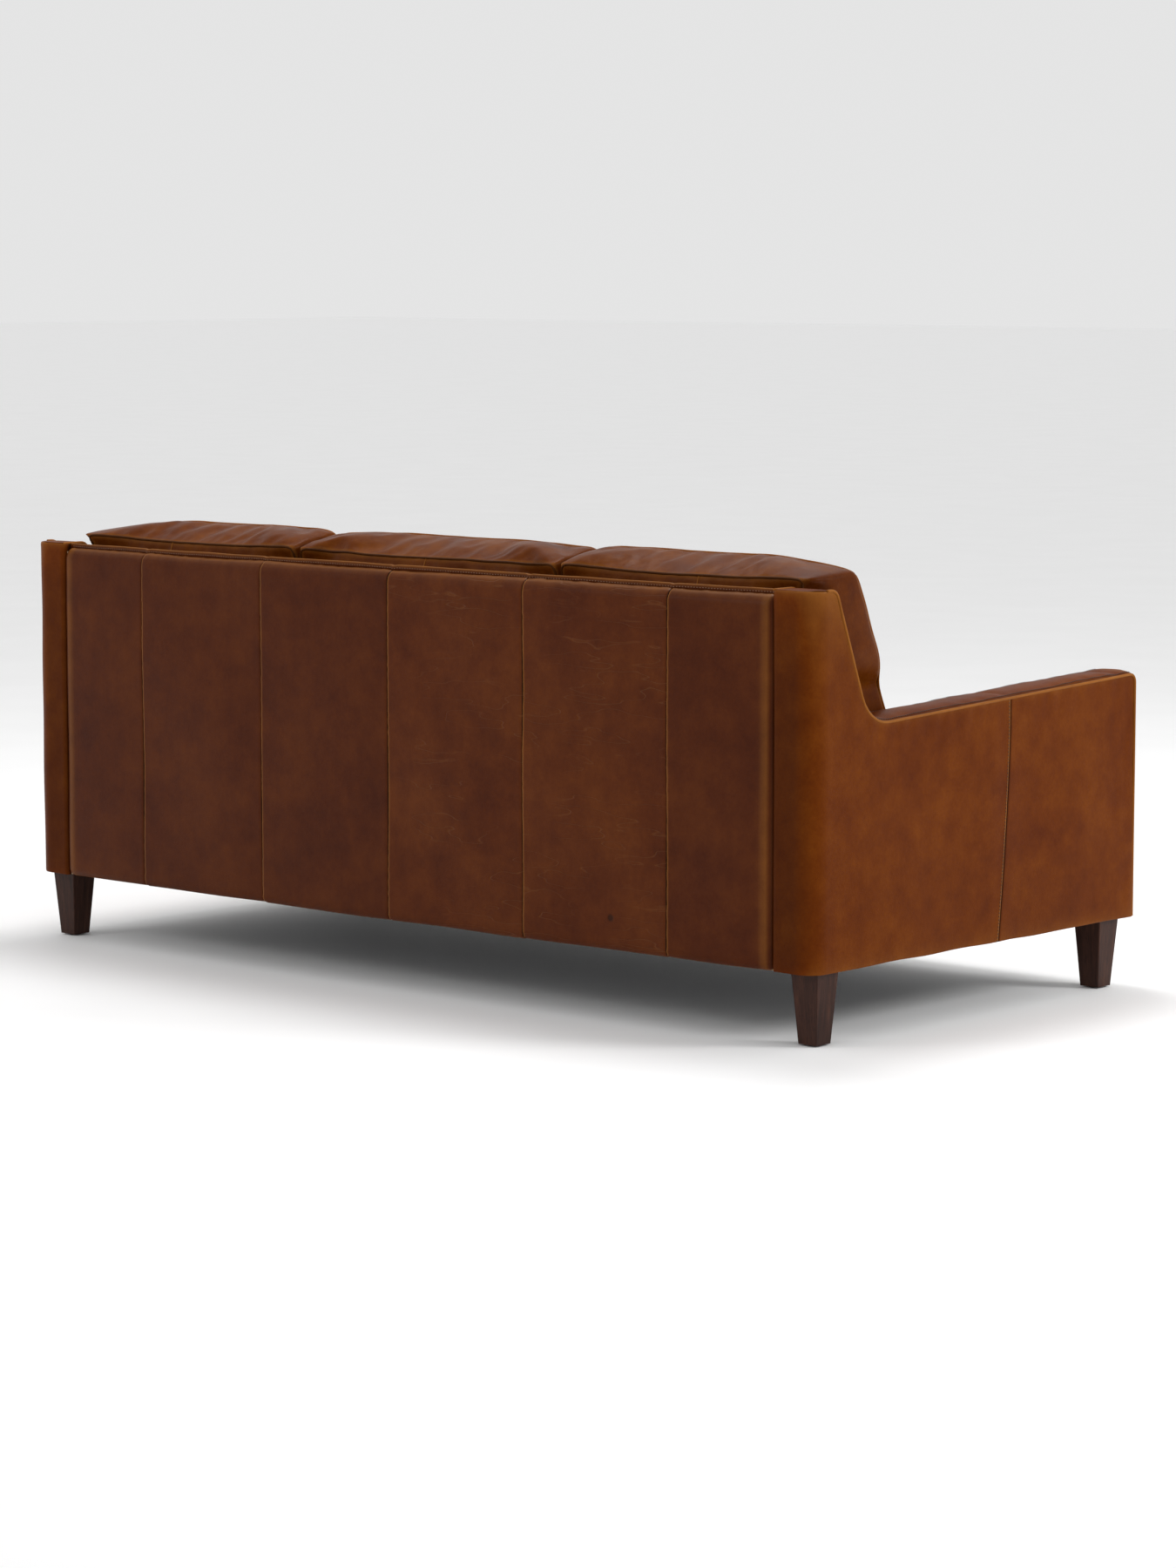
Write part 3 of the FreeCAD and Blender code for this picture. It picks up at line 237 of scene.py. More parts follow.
def hide_leather(name, deep, middle, pale, seed, streaks=0.3, gloss=0.09, rough=0.36):
    """Waxed pull-up leather: cloudy dye, fine grain, golden where rubbing and stretching lighten it and where
    painted highlight is laid on, and painted shade down in its seams and slots.

    Returns the material, its coordinates, its sockets and its relief, for more marks to be laid on.
    """
    material, place = new_material(name)
    tree = place.tree
    place = add_node(tree, "ShaderNodeVectorMath", {"operation": "ADD"}, {0: place, 1: (seed, seed * 0.7, 0)})
    clouds = noise(place, 4.2, 4, 0.6)
    mottle = noise(place, 17.0, 6, 0.62)
    freckles = noise(place, 140.0, 3, 0.6)
    lines = noise(stretched(place, (42, 42, 3.2)), 1.0, 5, 0.65)
    worn = add_node(tree, "ShaderNodeAttribute", {"attribute_name": "worn"}, {}, "Fac")
    dye = clouds * 0.4 + mottle * 0.42 + freckles * 0.14 + (lines - 0.5) * (0.3 * streaks)
    tone = ramp(dye, (0.34, deep), (0.47, middle), (0.6, pale))
    # The attribute turns the tone golden where it is positive, for real rubbing and stretching and for painted
    # highlight, and dark where it is negative, as painted shade.
    tone = blend_colours(worn * (0.4 + 0.9 * mottle), tone, RUBBED_AND_HIGHLIGHT)
    tone = blend_colours(worn * -1.0, tone, PAINTED_SHADE)
    pebble = add_node(tree, "ShaderNodeTexVoronoi", {"feature": "SMOOTH_F1"},
                      {"Vector": place, "Scale": 850.0, "Smoothness": 0.6}, "Distance")
    skin = noise(place, 380.0, 3, 0.6)
    relief = pebble * 0.35 + skin * 0.5 + mottle * 0.8
    finish = {"Base Color": tone, "Roughness": rough + 0.2 * mottle, "Specular IOR Level": gloss,
              "Specular Tint": (1.0, 0.72, 0.5, 1), "Coat Weight": 0.03, "Coat Roughness": 0.25}
    return material, place, finish, relief


def plain_hide(*words, **choices):
    """A leather with no more marks on it."""
    material, _, finish, relief = hide_leather(*words, **choices)
    return surface(material, finish, relief, 0.0011, 0.5)


def creased_hide(name, deep, middle, pale, seed, angle):
    """A leather from the loose belly of the hide: fine pale creases that run one way, and one round scar."""
    material, place, finish, relief = hide_leather(name, deep, middle, pale, seed)
    way = add_node(place.tree, "ShaderNodeMapping", {},
                   {"Vector": place, "Rotation": (0, angle, 0), "Scale": (4.5, 4.5, 26)})
    fold = noise(way, 1.0, 2, 0.55)
    where = ramp(noise(place, 5.5, 3, 0.5), (0.42, 0.0), (0.56, 1.0))
    crease = ramp(fold, (0.49, 0.0), (0.5, 1.0), (0.51, 0.0)) * where
    tone = blend_colours(crease * 0.26, finish["Base Color"], CREASED)
    centre = (SCAR[0] + seed, SCAR[1] + seed * 0.7, SCAR[2])
    away = add_node(place.tree, "ShaderNodeVectorMath", {"operation": "DISTANCE"}, {0: place, 1: centre},
                    "Value")
    scar = ramp(away * 50.0, (0.25, 0.75), (0.36, 0.35), (0.46, 0.0))
    finish["Base Color"] = blend_colours(scar, tone, SCARRED)
    return surface(material, finish, relief - crease * 1.6 - scar * 1.2, 0.0012, 0.5)


def rounded(corners, radii, step=0.002):
    """A line through 2-D corners whose inner corners are rounded by arcs, as closely spaced points."""
    corners = [np.array(corner, float) for corner in corners]
    line = [corners[0]]
    for before, corner, after, radius in zip(corners, corners[1:], corners[2:], radii):
        back = (before - corner) / np.linalg.norm(before - corner)
        ahead = (after - corner) / np.linalg.norm(after - corner)
        half = math.acos(np.clip(back @ ahead, -1, 1)) / 2
        reach = radius / math.tan(half)
        bisector = (back + ahead) / np.linalg.norm(back + ahead)
        centre = corner + bisector * radius / math.sin(half)
        start = corner + back * reach - centre
        turn = math.pi - 2 * half
        way = 1 if np.cross(start, corner + ahead * reach - centre) > 0 else -1
        for share in np.linspace(0, 1, max(4, int(turn / math.radians(9)))):
            angle = way * turn * share
            spun = (start[0] * math.cos(angle) - start[1] * math.sin(angle),
                    start[0] * math.sin(angle) + start[1] * math.cos(angle))
            line.append(centre + np.array(spun))
    line.append(corners[-1])
    return np.array(line)


def lengths(line):
    """How far along a line each of its points lies."""
    return np.concatenate([[0], np.cumsum(np.linalg.norm(np.diff(line, axis=0), axis=1))])


def along(line, places):
    """Points at distances along a line."""
    far = lengths(line)
    return np.stack([np.interp(places, far, line[:, axis]) for axis in range(line.shape[1])], axis=-1)


def evenly(line, count):
    """A number of evenly spaced points along a line."""
    return along(line, np.linspace(0, lengths(line)[-1], count))


def spread(length, gap=0.008):
    """Distances from 0 to a length: close together at both ends, a gap apart between."""
    edge = np.array([0, 0.0005, 0.0012, 0.0022, 0.0035, 0.005, 0.0075, 0.011, 0.016])
    middle = np.linspace(edge[-1], length - edge[-1], max(2, int((length - 2 * edge[-1]) / gap)))
    return np.concatenate([edge, middle[1:-1], (length - edge)[::-1]])


def drop(distance, wide, deep):
    """How far a soft edge has fallen away at a distance from it: a quarter of an ellipse."""
    near = 1 - np.clip(distance / wide, 0, 1)
    return deep * (1 - np.sqrt(1 - near ** 2))


def ripple(across, up, wave, seed):
    """Gentle uneven swells between about -1 and 1, of a wavelength in metres."""
    draw = np.random.RandomState(seed)
    total = np.zeros(np.broadcast(across, up).shape)
    for _ in range(6):
        angle = draw.uniform(0, 2 * math.pi)
        size = wave * draw.uniform(0.7, 1.6)
        total += np.sin((across * math.cos(angle) + up * math.sin(angle)) * 2 * math.pi / size
                        + draw.uniform(0, 2 * math.pi))
    return total / 3.2


def face_normals(face, toward):
    """Unit normals of a grid of points, on the side that faces a direction."""
    normal = np.cross(np.gradient(face, axis=0), np.gradient(face, axis=1))
    normal /= np.maximum(np.linalg.norm(normal, axis=-1, keepdims=True), 1e-12)
    return normal if (normal @ np.array(toward, float)).sum() > 0 else -normal


def put(name, data):
    """A new object of the scene."""
    thing = bpy.data.objects.new(name, data)
    bpy.context.scene.collection.objects.link(thing)
    return thing


def build(name, points, faces, material, worn=None):
    """A smooth-shaded mesh object from points and faces."""
    mesh = bpy.data.meshes.new(name)
    mesh.from_pydata(np.asarray(points).tolist(), [], [list(face) for face in faces])
    mesh.materials.append(material)
    mesh.shade_smooth()
    wear_and_light_layer = mesh.attributes.new("worn", "FLOAT", "POINT")
    if worn is not None:
        wear_and_light_layer.data.foreach_set("value", np.asarray(worn, np.float32).ravel())
    return put(name, mesh)


def settle(piece, body, slot, *nodes):
    """Ties a finished piece to its body and hides the CAD pieces that it stands for; its slot is not used."""
    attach(piece, body)
    if nodes:
        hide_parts(*nodes)


def hide(name, face, toward, material, worn, slot, *nodes, thick=HIDE):
    """A closed sheet of leather on the frame: its grid of outer points, the same set in, and a rim."""
    rows, columns = face.shape[:2]
    normal = face_normals(face, toward)
    turn = np.cross(face[1, 0] - face[0, 0], face[0, 1] - face[0, 0]) @ normal[0, 0]
    if turn < 0:
        face, normal, worn = face[::-1], normal[::-1], worn[::-1]
    inner = face - normal * thick
    index = np.arange(rows * columns).reshape(rows, columns)
    front = np.stack([index[:-1, :-1], index[1:, :-1], index[1:, 1:], index[:-1, 1:]], -1).reshape(-1, 4)
    back = front[:, ::-1] + rows * columns
    rim = np.concatenate([index[:, 0], index[-1, 1:], index[-2::-1, -1], index[0, -2:0:-1]])
    after = np.roll(rim, -1)
    edge = np.stack([after, rim, rim + rows * columns, after + rows * columns], -1)
    points = np.concatenate([face.reshape(-1, 3), inner.reshape(-1, 3)])
    worn = np.tile(worn.ravel(), 2)
    settle(build(name, points, np.concatenate([front, back, edge]), material, worn), "frame", slot, *nodes)


def plain_points(piece_name):
    """Low and high corners of a CAD piece, as plain arrays."""
    return [np.array(corner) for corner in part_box(piece_name)]


panel_boxes = [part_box(f"outside_back_panel_{place}") for place in range(1, 7)]
HALF_BACK = panel_boxes[5][1].x
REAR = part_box("arm_outside_rear_left")[1].y
SWELL = panel_boxes[3][1].y - REAR
BASE = panel_boxes[0][0].z
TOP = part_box("back_top_band")[1].z
FLANGE_HIGH = 0.013
PANEL_TOP = TOP - FLANGE_HIGH + 0.002
TOP_ROLL = 0.02
FOOT_ROLL = 0.009
SLOT_ROLL = 0.014
SEAM_WIDE = 0.0075
SEAM_DEEP = 0.0035
TURN_IN = 0.034          # how far the leather turns in at the foot and at the slots
PROUD = 0.0022           # how far the padding holds it off the cut shape


def swell_y(x):
    """Y of the swollen outside back at an X."""
    return REAR + SWELL * (1 - (np.asarray(x) / HALF_BACK) ** 2)


SCAR = (-0.575, REAR + SWELL * 0.65, 0.2)
# The back leathers are darker copies of the side leather: painted shade for the rear-facing back. The creased
# belly panels are a little lighter than the rest.
SHADED_BACK_TONES = (0.043, 0.0068, 0.0012), (0.06, 0.0112, 0.0018), (0.08, 0.0175, 0.0026)
shaded_back_leather = plain_hide("leather_back", *SHADED_BACK_TONES, seed=3.0)
SHADED_BELLY_TONES = (0.052, 0.0088, 0.0015), (0.074, 0.0148, 0.0024), (0.098, 0.0228, 0.0036)
flat_creased = creased_hide("leather_back_creased", *SHADED_BELLY_TONES, 11.0, 0.06)
slant_creased = creased_hide("leather_back_wrinkled", *SHADED_BELLY_TONES, 17.0, 0.7)

upright_line = rounded([(TURN_IN, BASE + 0.001), (0, BASE + 0.001), (0, PANEL_TOP), (0.021, PANEL_TOP)],
                       [FOOT_ROLL, TOP_ROLL])
BACKWARD = (0, 1, 0)


def back_face(low, high, rolls, inset=0.0):
    """Grids of the outside back between two X: points, and how far each is from the ends and the foot."""
    plan = [(low, 0), (high, 0)]
    if rolls[0]:
        plan = [(low, TURN_IN), *plan]
    if rolls[1]:
        plan = [*plan, (high, TURN_IN)]
    plan = rounded(plan, [SLOT_ROLL] * (len(plan) - 2))
    across = spread(lengths(plan)[-1])
    up = spread(lengths(upright_line)[-1])
    turned = along(plan, across)[:, None, :]
    rolled = along(upright_line, up)[None, :, :]
    x = np.broadcast_to(turned[..., 0], (len(across), len(up)))
    face = np.stack([x, swell_y(x) - turned[..., 1] - rolled[..., 0],
                     np.broadcast_to(rolled[..., 1], x.shape)], -1)
    face = face - face_normals(face, BACKWARD) * inset
    return face, across[:, None], across[-1] - across[:, None], up[None, :], rolled


liner = back_face(-HALF_BACK, HALF_BACK, (True, True), 0.0045)[0][::3, ::2]
hide("back_liner", liner, BACKWARD, padding, np.zeros(liner.shape[:2]), "padding", "outside_back_liner",
     thick=0.002)

for place, (low, high) in enumerate(panel_boxes, start=1):
    face, left, right, rise, rolled = back_face(low.x, high.x, (place == 1, place == 6))
    wide = left[-1, 0]
    tall = rise[0, -1]
    seam_left = np.where(place > 1, left, 1.0)
    seam_right = np.where(place < 6, right, 1.0)
    seam = np.minimum(seam_left, seam_right)
    x, z = face[..., 0], face[..., 2]
    gathers = 0.0005 * np.exp(-seam / 0.02) * ripple(rise * 4, left * 0, 0.06, place)
    slack = 0.0012 * ripple(x, z, 0.34, place + 20)
    full = 0.0018 * np.sin(np.pi * left / wide) * np.sin(np.pi * rise / tall)
    pleats = 0.0008 * np.exp(-(tall - rise) / 0.022) * ripple(x, z * 0.2, 0.022, place + 40)
    lift = PROUD + full + slack + gathers + pleats
    lift = lift - drop(seam_left, SEAM_WIDE, SEAM_DEEP) - drop(seam_right, SEAM_WIDE / 2, SEAM_DEEP / 2)
    face = face + face_normals(face, BACKWARD) * lift[..., None]
    worn = 0.4 * np.exp(-((rolled[..., 0] - 0.012) / 0.005) ** 2)
    # Painted highlight along the right edge of each seam, and painted shade down its left side.
    worn = worn + 1.1 * np.exp(-(seam_right / 0.0026) ** 2) - 1.5 * np.exp(-(seam_left / 0.0016) ** 2)
    # At the slot ends: a painted highlight where the panel rolls in, and painted shade down in the slot.
    slot_end = {1: left, 6: right}.get(place)
    if slot_end is not None:
        worn = worn + 0.32 * np.exp(-((slot_end - 0.043) / 0.009) ** 2) - np.exp(-(slot_end / 0.03) ** 6)
    leather = {2: flat_creased, 3: slant_creased}.get(place, shaded_back_leather)
    hide(f"back_panel_{place}", face, BACKWARD, leather, np.broadcast_to(worn, face.shape[:2]), "leather_back",
         f"outside_back_panel_{place}")

# ------------------------------ top band
# A leather band over the top rail. Its rear edge is folded into a standing flange with one row of stitches.
# The outside back is sewn under the flange, which dips and thickens a little where each seam ends.

FLANGE_IN = 0.0175


def closed_sweep(name, rings, material, worn, body, slot, *nodes):
    """A closed tube through rings of points, capped at both ends, that rides on a body."""
    count, sides = rings.shape[:2]
    index = np.arange(count * sides).reshape(count, sides)
    after = np.roll(index, -1, axis=1)
    quads = np.stack([index[:-1], index[1:], after[1:], after[:-1]], -1).reshape(-1, 4)
    middles = rings[[0, -1]].mean(axis=1)
    fans = [(count * sides + end, first, second) for end, ring in ((0, index[0]), (1, index[-1][::-1]))
            for first, second in zip(ring, np.roll(ring, -1))]
    points = np.concatenate([rings.reshape(-1, 3), middles])
    worn = np.append(np.broadcast_to(worn, (count, sides)), (0, 0))
    piece = build(name, points, quads.tolist() + fans, material, worn)
    work = bmesh.new()
    work.from_mesh(piece.data)
    bmesh.ops.recalc_face_normals(work, faces=work.faces)
    work.to_mesh(piece.data)
    work.free()
    settle(piece, body, slot, *nodes)


side_leather = plain_hide("leather_side", (0.078, 0.0135, 0.0006), (0.106, 0.0215, 0.001),
                          (0.14, 0.033, 0.002), seed=23.0, streaks=0.12, gloss=0.035)
x = np.linspace(-HALF_BACK, HALF_BACK, 640)
near_seams = sum(np.exp(-((x - seam_x) / 0.006) ** 2) for seam_x in [box[0].x for box in panel_boxes[1:]])
wave = 0.0007 * ripple(x, 0 * x, 0.16, 5) - 0.0012 * near_seams
swing = 0.0009 * ripple(x, 0 * x, 0.22, 6)
bulge = 0.0018 * near_seams
depth = swell_y(x) - plain_points("back_top_band")[0][1]
# The third number of each point lightens the flange's folded top, partly as a fold in pull-up leather and
# partly as painted highlight; negative numbers put painted shade at the flange's foot.
section = [
    (FLANGE_IN - bulge, -0.0115, 0), (FLANGE_IN - bulge, -0.0055, 0), (FLANGE_IN - bulge, -0.0014, 0.3),
    (FLANGE_IN + 0.001, 0.0004, 0.9), (FLANGE_IN + 0.0024, 0.0004, 0.9), (FLANGE_IN + 0.0034, -0.0014, 0),
    (FLANGE_IN + 0.0036, -0.0088, -0.5), (FLANGE_IN + 0.0056, -0.0103, -0.8), (depth - 0.02, -0.01, 0),
    (depth - 0.003, -0.0102, 0), (depth, -0.0112, 0), (depth, -0.0128, 0), (depth - 0.003, -0.0124, 0),
    (FLANGE_IN + 0.0056, -0.0122, 0), (FLANGE_IN + 0.002, -0.0119, 0),
]
rings = []
for inward, height, _ in section:
    share = np.clip(1 - (inward - FLANGE_IN) / 0.03, 0, 1)
    rings.append(np.stack([x, swell_y(x) - inward + swing * share, TOP + height + wave * share], -1))
closed_sweep("back_top_band_leather", np.stack(rings, axis=1), shaded_back_leather, [rubbing_and_painted_light for _, _, rubbing_and_painted_light in section],
             "frame", "leather_cover", "back_top_band")


def stitch_tree():
    """A node tree that lays a row of stitches along every curve it is given."""
    tree = bpy.data.node_groups.new("stitch_row", "GeometryNodeTree")
    kinds = (("Path", "Geometry"), ("Pitch", "Float"), ("Length", "Float"), ("Thickness", "Float"),
             ("Thread", "Material"))
    for name, kind in kinds:
        tree.interface.new_socket(name, in_out="INPUT", socket_type=f"NodeSocket{kind}")
    tree.interface.new_socket("Stitches", in_out="OUTPUT", socket_type="NodeSocketGeometry")
    given = {name: add_node(tree, "NodeGroupInput", {}, {}, name) for name, _ in kinds}
    dots = add_node(tree, "GeometryNodeResampleCurve", {"mode": "LENGTH"},
                    {"Curve": given["Path"], "Length": given["Pitch"]})
    bead = add_node(tree, "GeometryNodeMeshUVSphere", {}, {"Segments": 6, "Rings": 4, "Radius": 0.5})
    scale = add_node(tree, "ShaderNodeCombineXYZ", {},
                     {"X": given["Length"], "Y": given["Thickness"], "Z": given["Thickness"]})
    thread = add_node(tree, "GeometryNodeTransform", {}, {"Geometry": bead, "Scale": scale})
    tangent = add_node(tree, "GeometryNodeInputTangent", {}, {})
    turn = add_node(tree, "FunctionNodeAlignRotationToVector", {"axis": "X"}, {"Vector": tangent})
    row = add_node(tree, "GeometryNodeInstanceOnPoints", {},
                   {"Points": dots, "Instance": thread, "Rotation": turn})
    row = add_node(tree, "GeometryNodeRealizeInstances", {}, {"Geometry": row})
    row = add_node(tree, "GeometryNodeSetMaterial", {}, {"Geometry": row, "Material": given["Thread"]})
    add_node(tree, "NodeGroupOutput", {}, {"Stitches": row})
    return tree


STITCHES = stitch_tree()


def stitch_rows(name, lines, thread, body, slot, pitch=0.0068, length=0.0046, thick=0.0017):
    """Rows of stitches along lines of points, as one plain mesh that rides on a body."""
    curve = bpy.data.curves.new(name, "CURVE")
    curve.dimensions = "3D"
    for line in lines:
        spline = curve.splines.new("POLY")
        spline.points.add(len(line) - 1)
        spline.points.foreach_set("co", np.c_[line, np.ones(len(line))].ravel())
    path = put(f"{name}_path", curve)
    modifier = path.modifiers.new("stitches", "NODES")
    modifier.node_group = STITCHES
    named = {item.name: item.identifier for item in STITCHES.interface.items_tree}
    for socket, value in (("Pitch", pitch), ("Length", length), ("Thickness", thick), ("Thread", thread)):
        modifier[named[socket]] = value
    seen = path.evaluated_get(bpy.context.evaluated_depsgraph_get())
    mesh = bpy.data.meshes.new_from_object(seen)
    bpy.data.objects.remove(path)
    mesh.name = name
    mesh.shade_smooth()
    settle(put(name, mesh), body, slot)


# waxed polyester threads, twisted from plies
pale_thread, dark_thread = (
    speckled(f"thread_{name}", (1800.0, 2, 0.5), ((0.35, deep), (0.65, pale)), (0.55,), (0.0002, 0.5))
    for name, deep, pale in (("pale", (0.12, 0.05, 0.02), (0.22, 0.1, 0.045)),
                             ("dark", (0.014, 0.005, 0.003), (0.03, 0.012, 0.007))))
row = np.stack([x, swell_y(x) - FLANGE_IN + bulge + swing + 0.0003, TOP - 0.0058 + wave], -1)
stitch_rows("back_flange_stitches", [row[4:-4]], pale_thread, "frame", "leather_cover")

# ------------------------------ arms
# Each arm rises at the back into a wing. Its cover has an outside in two lengths, an inside, and a band.
# Piped seams join them, and a row of dark stitches runs inside the piping along the top.

HALF = plain_points("arm_outside_rear_right")[1][0]
FRONT = plain_points("arm_band_right")[0][1]
DEPTH = REAR - FRONT
ARM_WIDE = HALF - plain_points("arm_inside_right")[0][0]
ARM_FRONT_TOP = 0.618
ARM_SLOPE = math.tan(math.radians(2.5))
LEAN = math.tan(math.radians(21))
WING_TOP = 0.064
CORNER = 0.04
SEAM_PLACE = 0.591
SEAM_LEAN = 0.031
PIPE = 0.0027

throat = (TOP - ARM_FRONT_TOP + DEPTH * ARM_SLOPE + WING_TOP / LEAN) / (1 / LEAN + ARM_SLOPE)
outline = rounded([(0, TOP), (WING_TOP, TOP), (throat, TOP - (throat - WING_TOP) / LEAN),
                   (DEPTH, ARM_FRONT_TOP), (DEPTH, BASE)], [0.022, 0.08, 0.016])
outline = evenly(outline, 700)
over = outline[:np.argmax(outline[:, 0] > DEPTH - 1e-6) + 1]
pipe_leather = plain_hide("leather_piping", (0.12, 0.03, 0.003), (0.17, 0.048, 0.005),
                          (0.23, 0.072, 0.01), seed=31.0, gloss=0.06)


def tube(line, radius, sides=8):
    """Rings of points round a line."""
    ways = np.gradient(line, axis=0)
    ways /= np.linalg.norm(ways, axis=1, keepdims=True)
    side = np.cross(ways[0], (0.3, 0.5, 0.8))
    angles = np.linspace(0, 2 * math.pi, sides, endpoint=False)
    rings = []
    for spot, way in zip(line, ways):
        side = side - way * (side @ way)
        side /= np.linalg.norm(side)
        other = np.cross(way, side)
        rings.append([spot + radius * (math.cos(angle) * side + math.sin(angle) * other) for angle in angles])
    return np.array(rings)


def in_arm(side, inward, depth, height):
    """Points of an arm from distances in from its outer face, depths from the rear plane and heights."""
    inward, depth, height = np.broadcast_arrays(inward, depth, height)
    return np.stack([side * (HALF - inward), REAR - depth, height], -1)


def gap_to_outline(depth, height):
    """How far points of an arm's side are from its top, wing and front edge."""
    flat = np.stack([depth.ravel(), height.ravel()], -1)
    gaps = [np.min(np.linalg.norm(outline[None] - part[:, None], axis=-1), axis=1)
            for part in np.array_split(flat, max(1, len(flat) // 2000))]
    return np.concatenate(gaps).reshape(depth.shape)


def arm_panel(name, side, toward, inward, depth, seams, seed, node):
    """A panel of an arm's cover that stands on a line in plan and ends at the arm's outline."""
    share = spread(0.5, 0.009) / 0.5
    top = np.interp(depth, over[:, 0], over[:, 1])
    height = BASE + 0.001 + share[None, :] * (top[:, None] - BASE - 0.001)
    slant = np.clip((0.55 - height) / (0.55 - BASE), 0, 1)
    nearness = np.where(depth < SEAM_PLACE, depth / SEAM_PLACE, (DEPTH - depth) / (DEPTH - SEAM_PLACE))
    depth = depth[:, None] - SEAM_LEAN * slant ** 1.5 * np.clip(nearness, 0, 1)[:, None] ** 2 * seams
    face = in_arm(side, inward[:, None], depth, height)
    edge = np.minimum(gap_to_outline(depth, height), np.maximum(top[:, None] - height, 0))
    seam = np.abs(depth - (SEAM_PLACE - SEAM_LEAN * slant ** 1.5)) if seams else np.full(edge.shape, 1.0)
    away = 1 - np.exp(-(seam / 0.03) ** 2)
    slack = 0.0011 * ripple(face[..., 0] + face[..., 1], face[..., 2], 0.3, seed) * away
    gathers = 0.0007 * np.exp(-edge / 0.03) * ripple(depth * 2.5, height, 0.09, seed + 1) * away
    lift = 0.0016 + slack + gathers - drop(edge, 0.006, 0.0024) - drop(seam, 0.006, 0.0014)
    lift = lift - drop(height - BASE, 0.006, 0.002)
    normal = face_normals(face, toward)
    face = face + normal * lift[..., None]
    face[..., 2] -= (0.0024 + 0.0012 * ripple(face[..., 0] + face[..., 1], 0 * depth, 0.2, seed + 2) * away) \
        * np.exp(-(height - BASE) / 0.04)
    worn = 0.35 * np.exp(-edge / 0.004) + 0.25 * np.exp(-(height - BASE) / 0.012)
    at_rear = name.startswith("arm_rear")
    # Along the side seam: painted highlight on the rear panel's edge, and painted shade on the front panel's
    # edge.
    worn = worn + (1.0 if at_rear else -0.9) * np.exp(-(seam / 0.0034) ** 2)
    if at_rear:
        # The rear-facing strip is darkened as painted shade, darkest where it turns into the slot, and the
        # wing top gets a painted highlight.
        facing_rear = np.clip((inward[:, None] - 0.01) / 0.035, 0, 1) * (depth < 0.05)
        worn = worn - 0.4 * facing_rear - np.clip((depth - 0.004) / 0.01, 0, 1) * (facing_rear == 1)
        worn = worn + 0.5 * np.exp(-(TOP - height) / 0.07)
    hide(name, face, toward, side_leather, worn, "leather_cover", node)
    return face, normal


